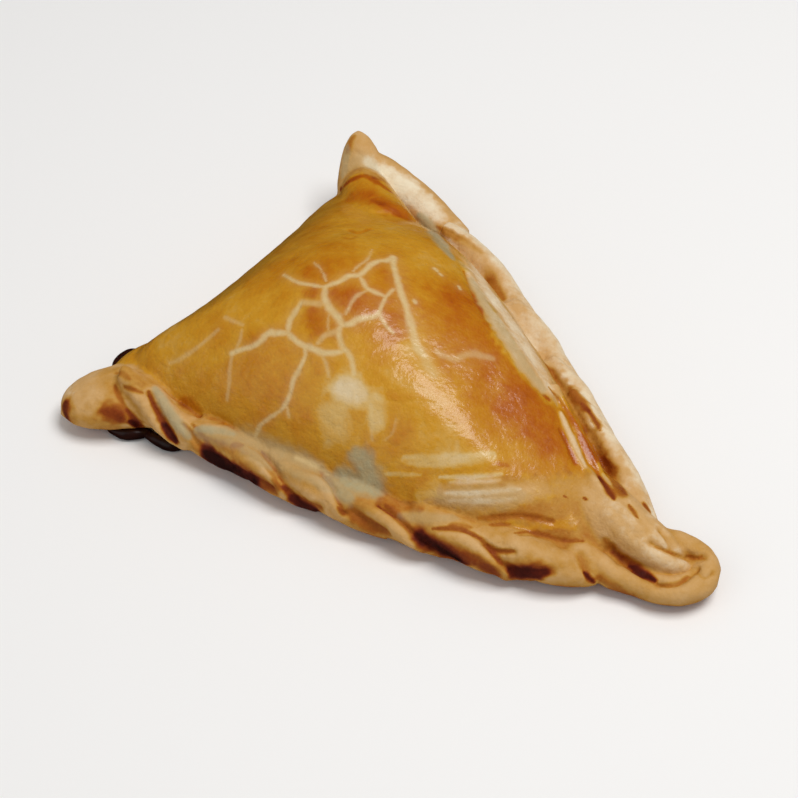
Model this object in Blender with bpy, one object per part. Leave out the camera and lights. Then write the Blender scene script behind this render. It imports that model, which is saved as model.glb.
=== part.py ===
"""A baked triangular turnover: sweet dough folded over its filling and rope-crimped along two edges.

Metres, +Z up, the flat baked underside on z = 0, the origin at the centre of the plan box. Seen from
above, the fold runs along the left side, the front seam faces -Y and the back seam +X and +Y. The front
rope ends in a curl at the right, a pinched horn stands at the back corner and a round tab at the left.

The pillow is lofted from its outline up to the crown. The rope is made of strands that cross the seam
from its inner top to its outer bottom, each with its own place, length and girth, as hand crimping
leaves them. Everything is joined into one solid. Sizes are in millimetres until the mesh is made.
"""

import math
from dataclasses import dataclass

import bpy
import numpy as np
from mathutils import Vector, noise
from mathutils.bvhtree import BVHTree

MM = 0.001

# The three sides in plan, each a cubic curve: its start, two handles and its end.
FRONT_SEAM = ((-57.0, 7.0), (-34.0, -1.0), (25.0, -14.6), (46.0, -5.0))
BACK_SEAM = ((-28.5, 79.2), (0.4, 80.0), (36.8, 28.6), (52.4, 7.0))
FOLD_LINE = ((-31.5, 75.0), (-40.0, 60.0), (-42.5, 40.0), (-59.5, 15.0))
LEFT_CORNER = (-57.0, 10.0)
BACK_CORNER = (-29.0, 76.0)
RIGHT_CORNER = (50.0, 2.0)
SIDE_SAMPLES = 200
CURVE_SAMPLES = 200

# The filled pillow. A power below 1 makes a side rise steeply from its edge, one above 1 slackly.
FRONT_INSET = 3.0
BACK_INSET = 3.2
SEAM_WIDEST_HEIGHT = 5.0
FOLD_WIDEST_HEIGHT = 8.0
BACK_CORNER_LIFT = 3.5
FRONT_POWER = 0.60
BACK_POWER = 0.60
FOLD_POWER = 0.85
LEFT_CORNER_POWER = 0.80
BACK_CORNER_POWER = 1.05
RIGHT_CORNER_POWER = 1.00
CORNER_REACH = 17.0
CORNER_ROUNDING = 5.0
PROFILE_ROUNDING = 20.0
DOME_SPACING = 1.3
DOME_ROUNDING = 26.0
DOME_ROUNDING_SHARE = 0.12
BASE_INSET_SHARE = 0.8
CROWN = (-14.0, 30.0, 31.0)
CROWN_RADIUS = 34.0
CROWN_POWER = 2.1
DENT_DEPTH = 0.7
DENT_SIZE = 22.0
DENT_FULL_HEIGHT = 12.0

# The rope. Strands are (start along the seam, length, girth), from the left and the back corner.
ROPE_HEIGHT = 4.7
LEFT_END_LIFT = 5.0
LEFT_LIFT_REACH = 11.0
BACK_END_LIFT = 8.5
BACK_LIFT_REACH = 26.0
ROPE_CORE_RADIUS = 3.0
ROPE_CORE_INSET = 0.6
ROPE_CORE_RINGS = 24
ROPE_CORE_TAPER = (0.5, 0.05)
STRAND_OUTWARD = (-2.2, 1.0)
STRAND_RISE = (3.2, -1.4)
STRAND_END_SHARE = 0.1
STRAND_SWELL_POWER = 0.8
FRONT_STRANDS = (
    (-0.5, 19.0, 3.2),
    (7.0, 21.0, 2.9),
    (19.0, 29.5, 3.5),
    (35.5, 28.0, 3.4),
    (50.0, 28.0, 3.2),
    (66.5, 26.0, 3.9),
    (80.5, 23.0, 3.9),
)
BACK_STRANDS = (
    (24.5, 27.0, 3.5),
    (49.5, 20.0, 3.1),
    (67.0, 19.0, 2.8),
    (77.0, 34.0, 2.9),
)

# A thin flap of dough that lies on the pillow inside the back rope and runs down into the tongue.
FLAP_START = 80.0
FLAP_LENGTH = 33.0
FLAP_INSET = (7.8, 4.0)
FLAP_END_HEIGHT = 7.2
FLAP_RADIUS = 1.7
FLAP_START_SHARE = 0.6

# The right end: a tongue from the pillow, and the front rope's last strand curled round it.
TONGUE = ((36.0, 11.5, 4.0), (49.5, 3.4, 5.4), (61.4, -0.9, 4.0))
TONGUE_RADII = (7.4, 5.6, 3.0)
TONGUE_BED = ((46.0, -1.5, 2.6), (54.0, -2.6, 2.4), (61.0, -1.6, 2.6))
TONGUE_BED_RADII = (4.2, 4.0, 3.0)
TONGUE_BED_FLATNESS = 0.7
CURL_START = ((39.0, -2.7, 5.4), (47.5, -5.6, 3.6))
CURL_CENTRE = (56.9, -0.8)
CURL_RADII = (7.4, 5.0)
CURL_HEIGHT = (3.0, 5.4)
CURL_TURN = (math.radians(-122), math.radians(85))
CURL_END = (51.5, 4.2, 5.2)
CURL_STRAND_RADIUS = 2.8
CURL_END_SHARE = 0.78
CURL_SAMPLES = 11
CURL_RINGS = 22

# The left and back ends, each from its root over a middle point to its tip. The shoulder joins the
# tab to the fold, and the nape joins the horn to the pillow. The wing is the rim's first stretch,
# drawn up the side of the horn.
TAB = ((-43.0, 12.5, 4.5), (-57.0, 7.6, 5.6), (-67.1, 1.3, 3.9))
TAB_RADII = (6.8, 7.5, 4.4)
TAB_FLATNESS = 0.68
TAB_SHARPNESS = 12
SHOULDER = ((-50.0, 23.0, 5.0), (-55.5, 16.5, 5.4), (-58.5, 12.0, 5.0))
SHOULDER_RADII = (4.4, 4.4, 4.2)
NAPE = ((-18.0, 60.0, 14.0), (-24.0, 69.5, 13.6), (-28.4, 78.0, 14.4))
NAPE_RADII = (8.0, 6.2, 4.2)
NAPE_FLATNESS = 0.9
HORN = ((-23.5, 68.5, 6.0), (-28.2, 77.8, 13.4), (-31.2, 84.5, 19.8))
HORN_RADII = (7.4, 5.4, 2.7)
HORN_FLATNESS = 0.8
WING = ((-4.0, 70.6, 6.6), (-17.5, 77.2, 10.4), (-29.3, 82.2, 16.6))
WING_RADII = (3.4, 4.5, 2.4)
TIP_SHARPNESS = 8
TIP_REACH = 0.99

# Filling that leaked and burnt at the left corner: middle, half length and radius.
SYRUP_LEAKS = (
    ((-60.0, 19.6, 3.2), (5.2, 3.0), 3.1),
    ((-53.5, 1.6, 2.2), (4.6, 0.6), 2.6),
    ((-43.0, 2.0, 1.6), (3.2, 0.0), 1.9),
    ((-32.5, 0.0, 2.2), (6.0, -2.2), 2.2),
)

# The beads of leaked syrup end where they are nearly closed.
LEAK_REACH = 0.95
LEAK_RINGS = 7

BODY_SEGMENTS = 90
FLANK_RINGS = 4
DOME_RINGS = 15
STRAND_RINGS = 9
STRAND_SIDES = 10
END_RINGS = 12
END_SIDES = 16

# The floor cut: what hangs below z = 0 is taken off, which leaves one flat baked underside.
FLOOR_SIZE = 300.0
FLOOR_DEPTH = 20.0

SHARP_ANGLE = math.radians(45)
CRUST_COLOUR = (0.55, 0.27, 0.07, 1.0)
CRUST_ROUGHNESS = 0.45


@dataclass(frozen=True)
class Seam:
    """A seam line in plan with the way out from the pillow, measured by distance along it."""

    points: np.ndarray
    outside: float
    lift: float
    lift_reach: float

    def distances(self):
        """How far along the seam each point lies."""
        steps = np.linalg.norm(np.diff(self.points, axis=0), axis=1)
        return np.concatenate([[0], np.cumsum(steps)])

    def at(self, distance, outward=0.0, rise=0.0):
        """The point at a distance along the seam, that far out and above the rope's middle height."""
        along = self.distances()
        held = min(max(distance, 0.0), along[-1])
        tangent = np.gradient(self.points, axis=0)
        tangent /= np.linalg.norm(tangent, axis=1, keepdims=True)
        spot = np.array([np.interp(held, along, self.points[:, k]) for k in range(2)])
        way = np.array([np.interp(held, along, tangent[:, k]) for k in range(2)])
        out = np.array([way[1], -way[0]]) * self.outside
        spot = spot + way * (distance - held) + out * outward
        height = ROPE_HEIGHT + self.lift * math.exp(-held / self.lift_reach)
        return np.array([*spot, height + rise])


def clear_scene():
    """Removes every object of the scene."""
    for old in list(bpy.data.objects):
        bpy.data.objects.remove(old, do_unlink=True)


def cubic(points, count):
    """A cubic curve's points, evenly spaced in its parameter, both ends included."""
    t = np.linspace(0, 1, count)[:, None]
    weights = ((1 - t) ** 3, 3 * t * (1 - t) ** 2, 3 * t**2 * (1 - t), t**3)
    return sum(w * np.array(p, float) for w, p in zip(weights, points))


def bent(points, count):
    """A curve through three points, evenly spaced in its parameter."""
    start, middle, end = (np.array(p, float) for p in points)
    t = np.linspace(0, 1, count)[:, None]
    return start * (1 - t) * (1 - 2 * t) + middle * 4 * t * (1 - t) + end * t * (2 * t - 1)


def even(points, count, closed=False):
    """The same line with its rows at even distances in plan."""
    line = np.vstack([points, points[:1]]) if closed else np.asarray(points, float)
    steps = np.linalg.norm(np.diff(line[:, :2], axis=0), axis=1)
    length = np.concatenate([[0], np.cumsum(steps)])
    wanted = np.linspace(0, length[-1], count, endpoint=not closed)
    return np.column_stack([np.interp(wanted, length, line[:, k]) for k in range(line.shape[1])])


def smoothed_loop(rows, reach, step):
    """A closed line with each row averaged with those within reach, the near ones counting most."""
    half = round(reach / step)
    shifted = [np.roll(rows, k, 0) * (half + 1 - abs(k)) for k in range(-half, half + 1)]
    return sum(shifted) / (half + 1) ** 2


def nearness(points, centre):
    """1 at a corner, falling smoothly to 0 away from it."""
    gap = np.linalg.norm(points - np.array(centre), axis=1)
    return np.exp(-((gap / CORNER_REACH) ** 2))[:, None]


def inset(points, distance):
    """A line moved to its left, square to its run."""
    run = np.gradient(points, axis=0)
    run /= np.linalg.norm(run, axis=1, keepdims=True)
    return points + distance * np.column_stack([-run[:, 1], run[:, 0]])


def body_outline():
    """The pillow's widest line, counterclockwise, as rows of x, y, widest height and power."""
    sides = (
        (inset(cubic(FRONT_SEAM, SIDE_SAMPLES), FRONT_INSET), SEAM_WIDEST_HEIGHT, FRONT_POWER),
        (inset(cubic(BACK_SEAM[::-1], SIDE_SAMPLES), BACK_INSET), SEAM_WIDEST_HEIGHT, BACK_POWER),
        (cubic(FOLD_LINE, SIDE_SAMPLES), FOLD_WIDEST_HEIGHT, FOLD_POWER),
    )
    rows = np.vstack([np.column_stack([p, np.tile((high, power), (len(p), 1))]) for p, high, power in sides])
    rows = even(rows, 3 * SIDE_SAMPLES, closed=True)
    step = np.linalg.norm(rows[1, :2] - rows[0, :2])
    plan = smoothed_loop(rows[:, :2], CORNER_ROUNDING, step)
    profile = smoothed_loop(rows[:, 2:], PROFILE_ROUNDING, step)
    corners = (LEFT_CORNER, BACK_CORNER, RIGHT_CORNER)
    for corner, power in zip(corners, (LEFT_CORNER_POWER, BACK_CORNER_POWER, RIGHT_CORNER_POWER)):
        profile[:, 1:] += (power - profile[:, 1:]) * nearness(plan, corner)
    profile[:, :1] += BACK_CORNER_LIFT * nearness(plan, BACK_CORNER)
    return even(np.column_stack([plan, profile]), BODY_SEGMENTS, closed=True)


def body_rings():
    """Rings of the pillow from the underside up to the crown, as (rings, segments, 3)."""
    rows = body_outline()
    plan, widest, power = rows[:, :2], rows[:, 2], rows[:, 3]
    crown = np.array(CROWN[:2])
    spoke = plan - crown
    reach = np.linalg.norm(spoke, axis=1, keepdims=True)
    direction = spoke / reach
    rings = []
    for k in range(FLANK_RINGS):
        turn = math.pi / 2 * k / FLANK_RINGS
        tucked = (widest * BASE_INSET_SHARE * (1 - math.sin(turn)))[:, None]
        rings.append(np.column_stack([plan - direction * tucked, widest * (1 - math.cos(turn))]))
    for k in range(DOME_RINGS):
        t = (k / DOME_RINGS) ** DOME_SPACING
        radius = (1 - t) * ((1 - t) * reach + t * CROWN_RADIUS)
        rise = (1 - (1 - t) ** CROWN_POWER) ** power
        ring = np.column_stack([crown + direction * radius, widest + (CROWN[2] - widest) * rise])
        step = np.linalg.norm(np.diff(ring, axis=0), axis=1).mean()
        rounding = min(DOME_ROUNDING * t, DOME_ROUNDING_SHARE * step * len(ring))
        rings.append(smoothed_loop(ring, rounding, step))
    return np.array(rings)


def dented(points):
    """The points raised and lowered a little, as a filled sheet of dough is."""
    moved = points.copy()
    for p in moved:
        p[2] += DENT_DEPTH * noise.noise(Vector(p) / DENT_SIZE) * min(1.0, p[2] / DENT_FULL_HEIGHT)
    return moved


def mesh_object(name, points, faces):
    """An object from points in millimetres."""
    mesh = bpy.data.meshes.new(name)
    mesh.from_pydata([tuple(float(v) * MM for v in p) for p in points], [], faces)
    mesh.update()
    made = bpy.data.objects.new(name, mesh)
    bpy.context.scene.collection.objects.link(made)
    return made


def ring_faces(rings, segments):
    """Side faces of a stack of rings and a fan at each end; the fans' tips come after the rings."""
    faces = []
    for i in range(rings - 1):
        for j in range(segments):
            k = (j + 1) % segments
            low, high = i * segments, (i + 1) * segments
            faces.append((low + j, low + k, high + k, high + j))
    first_tip, last_tip, last = rings * segments, rings * segments + 1, (rings - 1) * segments
    for j in range(segments):
        k = (j + 1) % segments
        faces.append((first_tip, k, j))
        faces.append((last_tip, last + j, last + k))
    return faces


def make_body(name):
    """The filled pillow as one closed solid with a flat underside."""
    rings = body_rings()
    tips = np.array([(CROWN[0], CROWN[1], 0.0), CROWN])
    points = np.vstack([rings.reshape(-1, 3), tips])
    return mesh_object(name, dented(points), ring_faces(len(rings), BODY_SEGMENTS))


def make_tube(name, centres, radii, sides, flatness=1.0):
    """A closed swept tube along a line of centres, its ends rounded off."""
    centres = np.asarray(centres, float)
    way = np.gradient(centres, axis=0)
    way /= np.linalg.norm(way, axis=1, keepdims=True)
    turn = np.arange(sides) * 2 * math.pi / sides
    rings = []
    for centre, forward, radius in zip(centres, way, radii):
        level = np.cross((0, 0, 1), forward)
        level /= np.linalg.norm(level)
        steep = np.cross(forward, level) * flatness
        rings.append(centre + radius * (np.outer(np.cos(turn), level) + np.outer(np.sin(turn), steep)))
    tips = np.array([centres[0] - way[0] * radii[0] * 0.5, centres[-1] + way[-1] * radii[-1] * 0.5])
    points = np.vstack([np.array(rings).reshape(-1, 3), tips])
    return mesh_object(name, points, ring_faces(len(rings), sides))


def make_core(name, seam):
    """The rope's core, which fills the space under its strands."""
    length = seam.distances()[-1]
    places = np.linspace(0, length, ROPE_CORE_RINGS)
    least, growth = ROPE_CORE_TAPER
    centres = [seam.at(s, -ROPE_CORE_INSET) for s in places]
    radii = [ROPE_CORE_RADIUS * min(1.0, least + growth * min(s, length - s)) for s in places]
    return make_tube(name, centres, radii, STRAND_SIDES)


def make_strand(name, seam, start, length, girth):
    """One strand, crossing the seam from its inner top to its outer bottom."""
    centres, radii = [], []
    for t in np.linspace(0, 1, STRAND_RINGS):
        outward = STRAND_OUTWARD[0] + (STRAND_OUTWARD[1] - STRAND_OUTWARD[0]) * t
        rise = STRAND_RISE[0] + (STRAND_RISE[1] - STRAND_RISE[0]) * t
        centres.append(seam.at(start + length * t, outward, rise))
        swell = math.sin(math.pi * (STRAND_END_SHARE + (1 - 2 * STRAND_END_SHARE) * t))
        radii.append(girth * swell**STRAND_SWELL_POWER)
    return make_tube(name, centres, radii, STRAND_SIDES)


def pillow_height(pillow, spot):
    """The pillow's height above a point in plan, in millimetres, or 0 beside it."""
    start = Vector((spot[0] * MM, spot[1] * MM, CROWN[2] * 2 * MM))
    hit = pillow.ray_cast(start, Vector((0, 0, -1)))[0]
    return hit.z / MM if hit else 0.0


def make_flap(name, seam, pillow):
    """The thin flap of dough that lies on the pillow inside the back rope."""
    centres, radii = [], []
    for t in np.linspace(0, 1, END_RINGS):
        aside = FLAP_INSET[0] + (FLAP_INSET[1] - FLAP_INSET[0]) * t**2
        spot = seam.at(FLAP_START + FLAP_LENGTH * t, -aside)
        spot[2] = max(pillow_height(pillow, spot), FLAP_END_HEIGHT)
        centres.append(spot)
        radii.append(FLAP_RADIUS * (FLAP_START_SHARE + (1 - FLAP_START_SHARE) * t))
    return make_tube(name, centres, radii, STRAND_SIDES)


def make_end(name, points, radii, flatness=1.0, sharpness=TIP_SHARPNESS):
    """A tapered end of dough, its radii given at the root, the middle and the rounded tip."""
    rows = bent([(*p, r) for p, r in zip(points, radii)], CURVE_SAMPLES)
    shares = TIP_REACH * np.sin(np.linspace(0, math.pi / 2, END_RINGS))
    steps = np.linspace(0, 1, CURVE_SAMPLES)
    rows = np.column_stack([np.interp(shares, steps, column) for column in rows.T])
    rounding = np.sqrt(1 - shares**sharpness)
    return make_tube(name, rows[:, :3], rows[:, 3] * rounding, END_SIDES, flatness)


def make_curl(name):
    """The front rope's last strand, which curls round the tongue and tucks in behind it."""
    centres = [np.array(p) for p in CURL_START]
    for t in np.linspace(0, 1, CURL_SAMPLES):
        angle = CURL_TURN[0] + (CURL_TURN[1] - CURL_TURN[0]) * t
        height = CURL_HEIGHT[0] + (CURL_HEIGHT[1] - CURL_HEIGHT[0]) * t
        x = CURL_CENTRE[0] + CURL_RADII[0] * math.cos(angle)
        y = CURL_CENTRE[1] + CURL_RADII[1] * math.sin(angle)
        centres.append(np.array([x, y, height]))
    centres.append(np.array(CURL_END))
    centres = even(np.array(centres), CURL_RINGS)
    swell = np.sin(np.linspace(0, math.pi, CURL_RINGS))
    radii = CURL_STRAND_RADIUS * (CURL_END_SHARE + (1 - CURL_END_SHARE) * swell)
    return make_tube(name, centres, radii, STRAND_SIDES)


def make_leak(name, middle, half_length, radius):
    """A bead of leaked syrup."""
    middle = np.array(middle)
    half = np.array([*half_length, 0.0])
    shares = np.linspace(-LEAK_REACH, LEAK_REACH, LEAK_RINGS)
    radii = radius * np.sqrt(1 - shares**2)
    return make_tube(name, [middle + half * t for t in shares], radii, STRAND_SIDES)


def make_rolls(body):
    """Every roll of dough and every leak, as separate objects to be joined to the body."""
    corners = [v.co.copy() for v in body.data.vertices]
    pillow = BVHTree.FromPolygons(corners, [tuple(p.vertices) for p in body.data.polygons])
    front = Seam(even(cubic(FRONT_SEAM, SIDE_SAMPLES), SIDE_SAMPLES), 1.0, LEFT_END_LIFT, LEFT_LIFT_REACH)
    back = Seam(even(cubic(BACK_SEAM, SIDE_SAMPLES), SIDE_SAMPLES), -1.0, BACK_END_LIFT, BACK_LIFT_REACH)
    made = []
    for tag, seam, strands in (("front", front, FRONT_STRANDS), ("back", back, BACK_STRANDS)):
        made.append(make_core(f"core_{tag}", seam))
        for i, (start, length, girth) in enumerate(strands, 1):
            made.append(make_strand(f"strand_{tag}_{i}", seam, start, length, girth))
    made.append(make_flap("flap", back, pillow))
    made.append(make_end("tongue", TONGUE, TONGUE_RADII))
    made.append(make_curl("curl"))
    made.append(make_end("tab", TAB, TAB_RADII, TAB_FLATNESS, TAB_SHARPNESS))
    made.append(make_end("shoulder", SHOULDER, SHOULDER_RADII))
    made.append(make_end("nape", NAPE, NAPE_RADII, NAPE_FLATNESS))
    made.append(make_end("horn", HORN, HORN_RADII, HORN_FLATNESS))
    made.append(make_end("wing", WING, WING_RADII))
    made.append(make_end("tongue_bed", TONGUE_BED, TONGUE_BED_RADII, TONGUE_BED_FLATNESS))
    for i, (middle, half_length, radius) in enumerate(SYRUP_LEAKS, 1):
        made.append(make_leak(f"leak_{i}", middle, half_length, radius))
    return made


def apply_modifiers(target):
    """Bakes the object's modifiers into its mesh."""
    graph = bpy.context.evaluated_depsgraph_get()
    baked = bpy.data.meshes.new_from_object(target.evaluated_get(graph))
    target.modifiers.clear()
    target.data = baked


def join(target, rolls):
    """Fuses the rolls to the pillow and removes them."""
    group = bpy.data.collections.new("rolls")
    bpy.context.scene.collection.children.link(group)
    for roll in rolls:
        group.objects.link(roll)
    union = target.modifiers.new("join_rolls", "BOOLEAN")
    union.operation = "UNION"
    union.operand_type = "COLLECTION"
    union.collection = group
    union.solver = "MANIFOLD"
    apply_modifiers(target)
    for roll in rolls:
        bpy.data.objects.remove(roll, do_unlink=True)
    bpy.data.collections.remove(group)


def cut_floor(target):
    """Takes off what hangs below the floor, so the pastry rests on one flat face."""
    half = FLOOR_SIZE / 2
    plan = ((-half, -half), (half, -half), (half, half), (-half, half))
    corners = [(x, y, z) for z in (-FLOOR_DEPTH, 0.0) for x, y in plan]
    faces = [(3, 2, 1, 0), (4, 5, 6, 7), (0, 1, 5, 4), (1, 2, 6, 5), (2, 3, 7, 6), (3, 0, 4, 7)]
    cutter = mesh_object("cut_floor", corners, faces)
    cutter.hide_render = True
    cutter.display_type = "WIRE"
    trim = target.modifiers.new("trim_to_floor", "BOOLEAN")
    trim.operation = "DIFFERENCE"
    trim.object = cutter
    trim.solver = "MANIFOLD"
    apply_modifiers(target)
    bpy.data.objects.remove(cutter, do_unlink=True)


def centre_on_origin(target):
    """Moves the mesh so that its plan box is centred on the origin and its underside is on z = 0."""
    points = np.empty(len(target.data.vertices) * 3)
    target.data.vertices.foreach_get("co", points)
    points = points.reshape(-1, 3)
    low, high = points.min(0), points.max(0)
    points -= np.array([(low[0] + high[0]) / 2, (low[1] + high[1]) / 2, low[2]])
    target.data.vertices.foreach_set("co", points.ravel())
    target.data.update()


def crust_material():
    """Egg-washed baked dough."""
    made = bpy.data.materials.new("baked_crust")
    made.use_nodes = True
    shader = made.node_tree.nodes["Principled BSDF"]
    shader.inputs["Base Color"].default_value = CRUST_COLOUR
    shader.inputs["Roughness"].default_value = CRUST_ROUGHNESS
    made.diffuse_color = CRUST_COLOUR
    return made


def main():
    clear_scene()
    pastry = make_body("pastry")
    join(pastry, make_rolls(pastry))
    cut_floor(pastry)
    centre_on_origin(pastry)
    pastry.data.materials.clear()
    pastry.data.materials.append(crust_material())
    pastry.data.shade_smooth()
    pastry.data.set_sharp_from_angle(angle=SHARP_ANGLE)


if __name__ == "__main__":
    main()
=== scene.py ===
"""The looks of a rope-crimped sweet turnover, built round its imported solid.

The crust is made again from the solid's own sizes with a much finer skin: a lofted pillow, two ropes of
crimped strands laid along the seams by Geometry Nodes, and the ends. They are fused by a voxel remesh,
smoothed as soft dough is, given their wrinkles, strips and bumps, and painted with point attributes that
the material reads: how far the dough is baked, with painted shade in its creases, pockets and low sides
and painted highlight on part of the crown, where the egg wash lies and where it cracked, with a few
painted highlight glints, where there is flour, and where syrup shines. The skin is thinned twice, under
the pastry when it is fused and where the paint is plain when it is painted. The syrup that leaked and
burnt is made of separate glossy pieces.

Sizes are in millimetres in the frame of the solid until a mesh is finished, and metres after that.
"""

import logging
import math
from collections.abc import Iterable, Sequence
from dataclasses import dataclass, field
from enum import Enum

import bmesh
import bpy
import numpy as np
from mathutils import Matrix, Vector, noise
from mathutils.bvhtree import BVHTree
from mathutils.kdtree import KDTree


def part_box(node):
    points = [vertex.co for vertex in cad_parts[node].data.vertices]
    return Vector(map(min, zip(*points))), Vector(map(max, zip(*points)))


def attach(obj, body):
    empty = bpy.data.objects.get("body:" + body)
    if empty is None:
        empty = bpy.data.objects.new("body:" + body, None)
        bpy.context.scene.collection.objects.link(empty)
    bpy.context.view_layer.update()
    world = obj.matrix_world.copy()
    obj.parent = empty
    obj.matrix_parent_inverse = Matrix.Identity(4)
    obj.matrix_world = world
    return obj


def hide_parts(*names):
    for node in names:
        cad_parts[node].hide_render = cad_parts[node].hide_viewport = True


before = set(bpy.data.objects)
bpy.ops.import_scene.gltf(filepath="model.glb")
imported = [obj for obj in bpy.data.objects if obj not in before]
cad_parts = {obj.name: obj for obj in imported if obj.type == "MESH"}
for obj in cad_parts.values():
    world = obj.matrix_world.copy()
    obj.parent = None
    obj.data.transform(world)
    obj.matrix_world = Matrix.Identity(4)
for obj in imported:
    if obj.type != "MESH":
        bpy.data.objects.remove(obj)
LOG = logging.getLogger("turnover")

MM = 0.001
NODE = "pastry"
BODY = "root"
PHOTO_SIZE = 798

# Where the drawing's own origin lies in the frame, which is centred on the pastry's plan box.
DRAWING_ORIGIN = np.array((0.764, -36.619, 0.0))

Pixel = tuple[float, float]
Point3 = tuple[float, float, float]


class Zone(Enum):
    """The parts of the crust, which differ in how much egg wash they got."""

    PILLOW = 0
    FRONT_ROPE = 1
    BACK_ROPE = 2
    HORN = 3
    TAB = 4
    TONGUE = 5
    CURL = 6


class Paint(Enum):
    """What the crust's mesh holds for its material. The value is the attribute's name."""

    # How far the dough is baked, with painted shade in creases, pockets and low sides and painted highlight
    # on part of the crown.
    BAKE = "bake_and_shading"
    # Where the wash cracked, and the few painted highlight glints.
    CRACK_AND_GLINT = "crack_and_glint"
    FLOUR = "flour"
    SYRUP = "syrup"
    WASH = "wash"


@dataclass(frozen=True)
class Stroke:
    """A painted line through pixels of the photo.

    Its level is 0 for pale dough, about 0.5 for golden brown and 1 for burnt black where it is of
    baking, and how thick it lies otherwise. Many dark levels in crevices and pockets also stand for
    painted shade, and two pale ones on the crown for painted highlight. Its width is how far it reaches
    from its middle on the crust, in millimetres. Its cover is how much of the way it pulls the baking
    to its level.
    """

    level: float
    width: float
    pixels: tuple[Pixel, ...]
    cover: float = 1.0


@dataclass(frozen=True)
class Fold:
    """A raised strip (height above 0) or a groove (below 0) in the dough, along pixels of the photo."""

    height: float
    width: float
    pixels: tuple[Pixel, ...]


# --------------------------------------------------------------------------- small tools


def linear(hex_colour: str) -> tuple[float, float, float, float]:
    """An sRGB hex colour, six digits after a hash, as linear red, green, blue and full alpha."""
    shares = [int(hex_colour[i : i + 2], 16) / 255 for i in (1, 3, 5)]
    red, green, blue = (s / 12.92 if s <= 0.04045 else ((s + 0.055) / 1.055) ** 2.4 for s in shares)
    return red, green, blue, 1.0


def feed(node: bpy.types.Node, ins: dict) -> None:
    """Sets or links a node's inputs.

    Args:
        node: The node.
        ins: Input name or number to a value, to a socket to link from, or to a node, whose first
            working output is linked.
    """
    for socket, value in ins.items():
        if isinstance(value, bpy.types.Node):
            value = next(output for output in value.outputs if output.enabled)
        if isinstance(value, bpy.types.NodeSocket):
            node.id_data.links.new(value, node.inputs[socket])
        else:
            node.inputs[socket].default_value = value


def add_node(
    tree: bpy.types.NodeTree, kind: str, ins: dict | None = None, stops: Sequence = (), **settings: object
) -> bpy.types.Node:
    """Adds a node with its settings, and sets or links its inputs.

    Args:
        tree: The tree it goes into.
        kind: The node's type name.
        ins: What its inputs get, as `feed` takes it.
        stops: A colour ramp's places, each with its hex colour.
        settings: The node's own properties.

    Returns:
        The new node.
    """
    node = tree.nodes.new(kind)
    for name, value in settings.items():
        setattr(node, name, value)
    feed(node, ins or {})
    for i, (place, colour) in enumerate(stops):
        stop = node.color_ramp.elements[i] if i < 2 else node.color_ramp.elements.new(place)
        stop.position = place
        stop.color = linear(colour)
    return node


def new_material(name: str) -> tuple[bpy.types.Material, bpy.types.NodeTree, bpy.types.Node]:
    """A material, its node tree and its shader."""
    made = bpy.data.materials.new(name)
    made.use_nodes = True
    return made, made.node_tree, made.node_tree.nodes["Principled BSDF"]


def mesh_from(name: str, points: np.ndarray, faces: Sequence[Sequence[int]]) -> bpy.types.Mesh:
    """A mesh from points and faces, in the points' own unit."""
    mesh = bpy.data.meshes.new(name)
    mesh.from_pydata([tuple(p) for p in np.asarray(points, float)], [], faces)
    mesh.update()
    return mesh


def linked(name: str, data: bpy.types.ID) -> bpy.types.Object:
    """An object of that data in the scene, at the origin."""
    made = bpy.data.objects.new(name, data)
    bpy.context.scene.collection.objects.link(made)
    return made


def baked(target: bpy.types.Object) -> bpy.types.Mesh:
    """Applies the object's modifiers and gives its new plain mesh."""
    bpy.context.view_layer.update()
    graph = bpy.context.evaluated_depsgraph_get()
    mesh = bpy.data.meshes.new_from_object(target.evaluated_get(graph))
    target.modifiers.clear()
    target.data = mesh
    return mesh


def triangle_count(mesh: bpy.types.Mesh) -> int:
    """How many triangles the mesh's faces are cut into."""
    return sum(len(p.vertices) - 2 for p in mesh.polygons)


def vertex_points(mesh: bpy.types.Mesh) -> np.ndarray:
    """The mesh's points, one row each."""
    flat = np.empty(len(mesh.vertices) * 3)
    mesh.vertices.foreach_get("co", flat)
    return flat.reshape(-1, 3)


def set_points(mesh: bpy.types.Mesh, points: np.ndarray) -> None:
    """Moves the mesh's points."""
    mesh.vertices.foreach_set("co", np.asarray(points, float).ravel())
    mesh.update()


def vertex_normals(mesh: bpy.types.Mesh) -> np.ndarray:
    """The mesh's point normals, one row each."""
    flat = np.empty(len(mesh.vertices) * 3)
    mesh.vertex_normals.foreach_get("vector", flat)
    return flat.reshape(-1, 3)


def neighbour_mean(mesh: bpy.types.Mesh, values: np.ndarray, rounds: int) -> np.ndarray:
    """Values at the mesh's points, each averaged with its neighbours a number of times.

    Args:
        mesh: The mesh whose edges join the neighbours.
        values: One row for each point.
        rounds: How many times to average.

    Returns:
        The smoothed values.
    """
    ends = np.empty(len(mesh.edges) * 2, int)
    mesh.edges.foreach_get("vertices", ends)
    ends = ends.reshape(-1, 2)
    count = len(mesh.vertices)
    degree = np.bincount(ends.ravel(), minlength=count)[:, None]
    rows = np.array(values, float).reshape(count, -1)
    for _ in range(rounds):
        total = np.zeros_like(rows)
        for column in range(rows.shape[1]):
            total[:, column] += np.bincount(ends[:, 0], rows[ends[:, 1], column], count)
            total[:, column] += np.bincount(ends[:, 1], rows[ends[:, 0], column], count)
        rows = (rows + total) / (degree + 1)
    return rows.reshape(np.shape(values))


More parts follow.
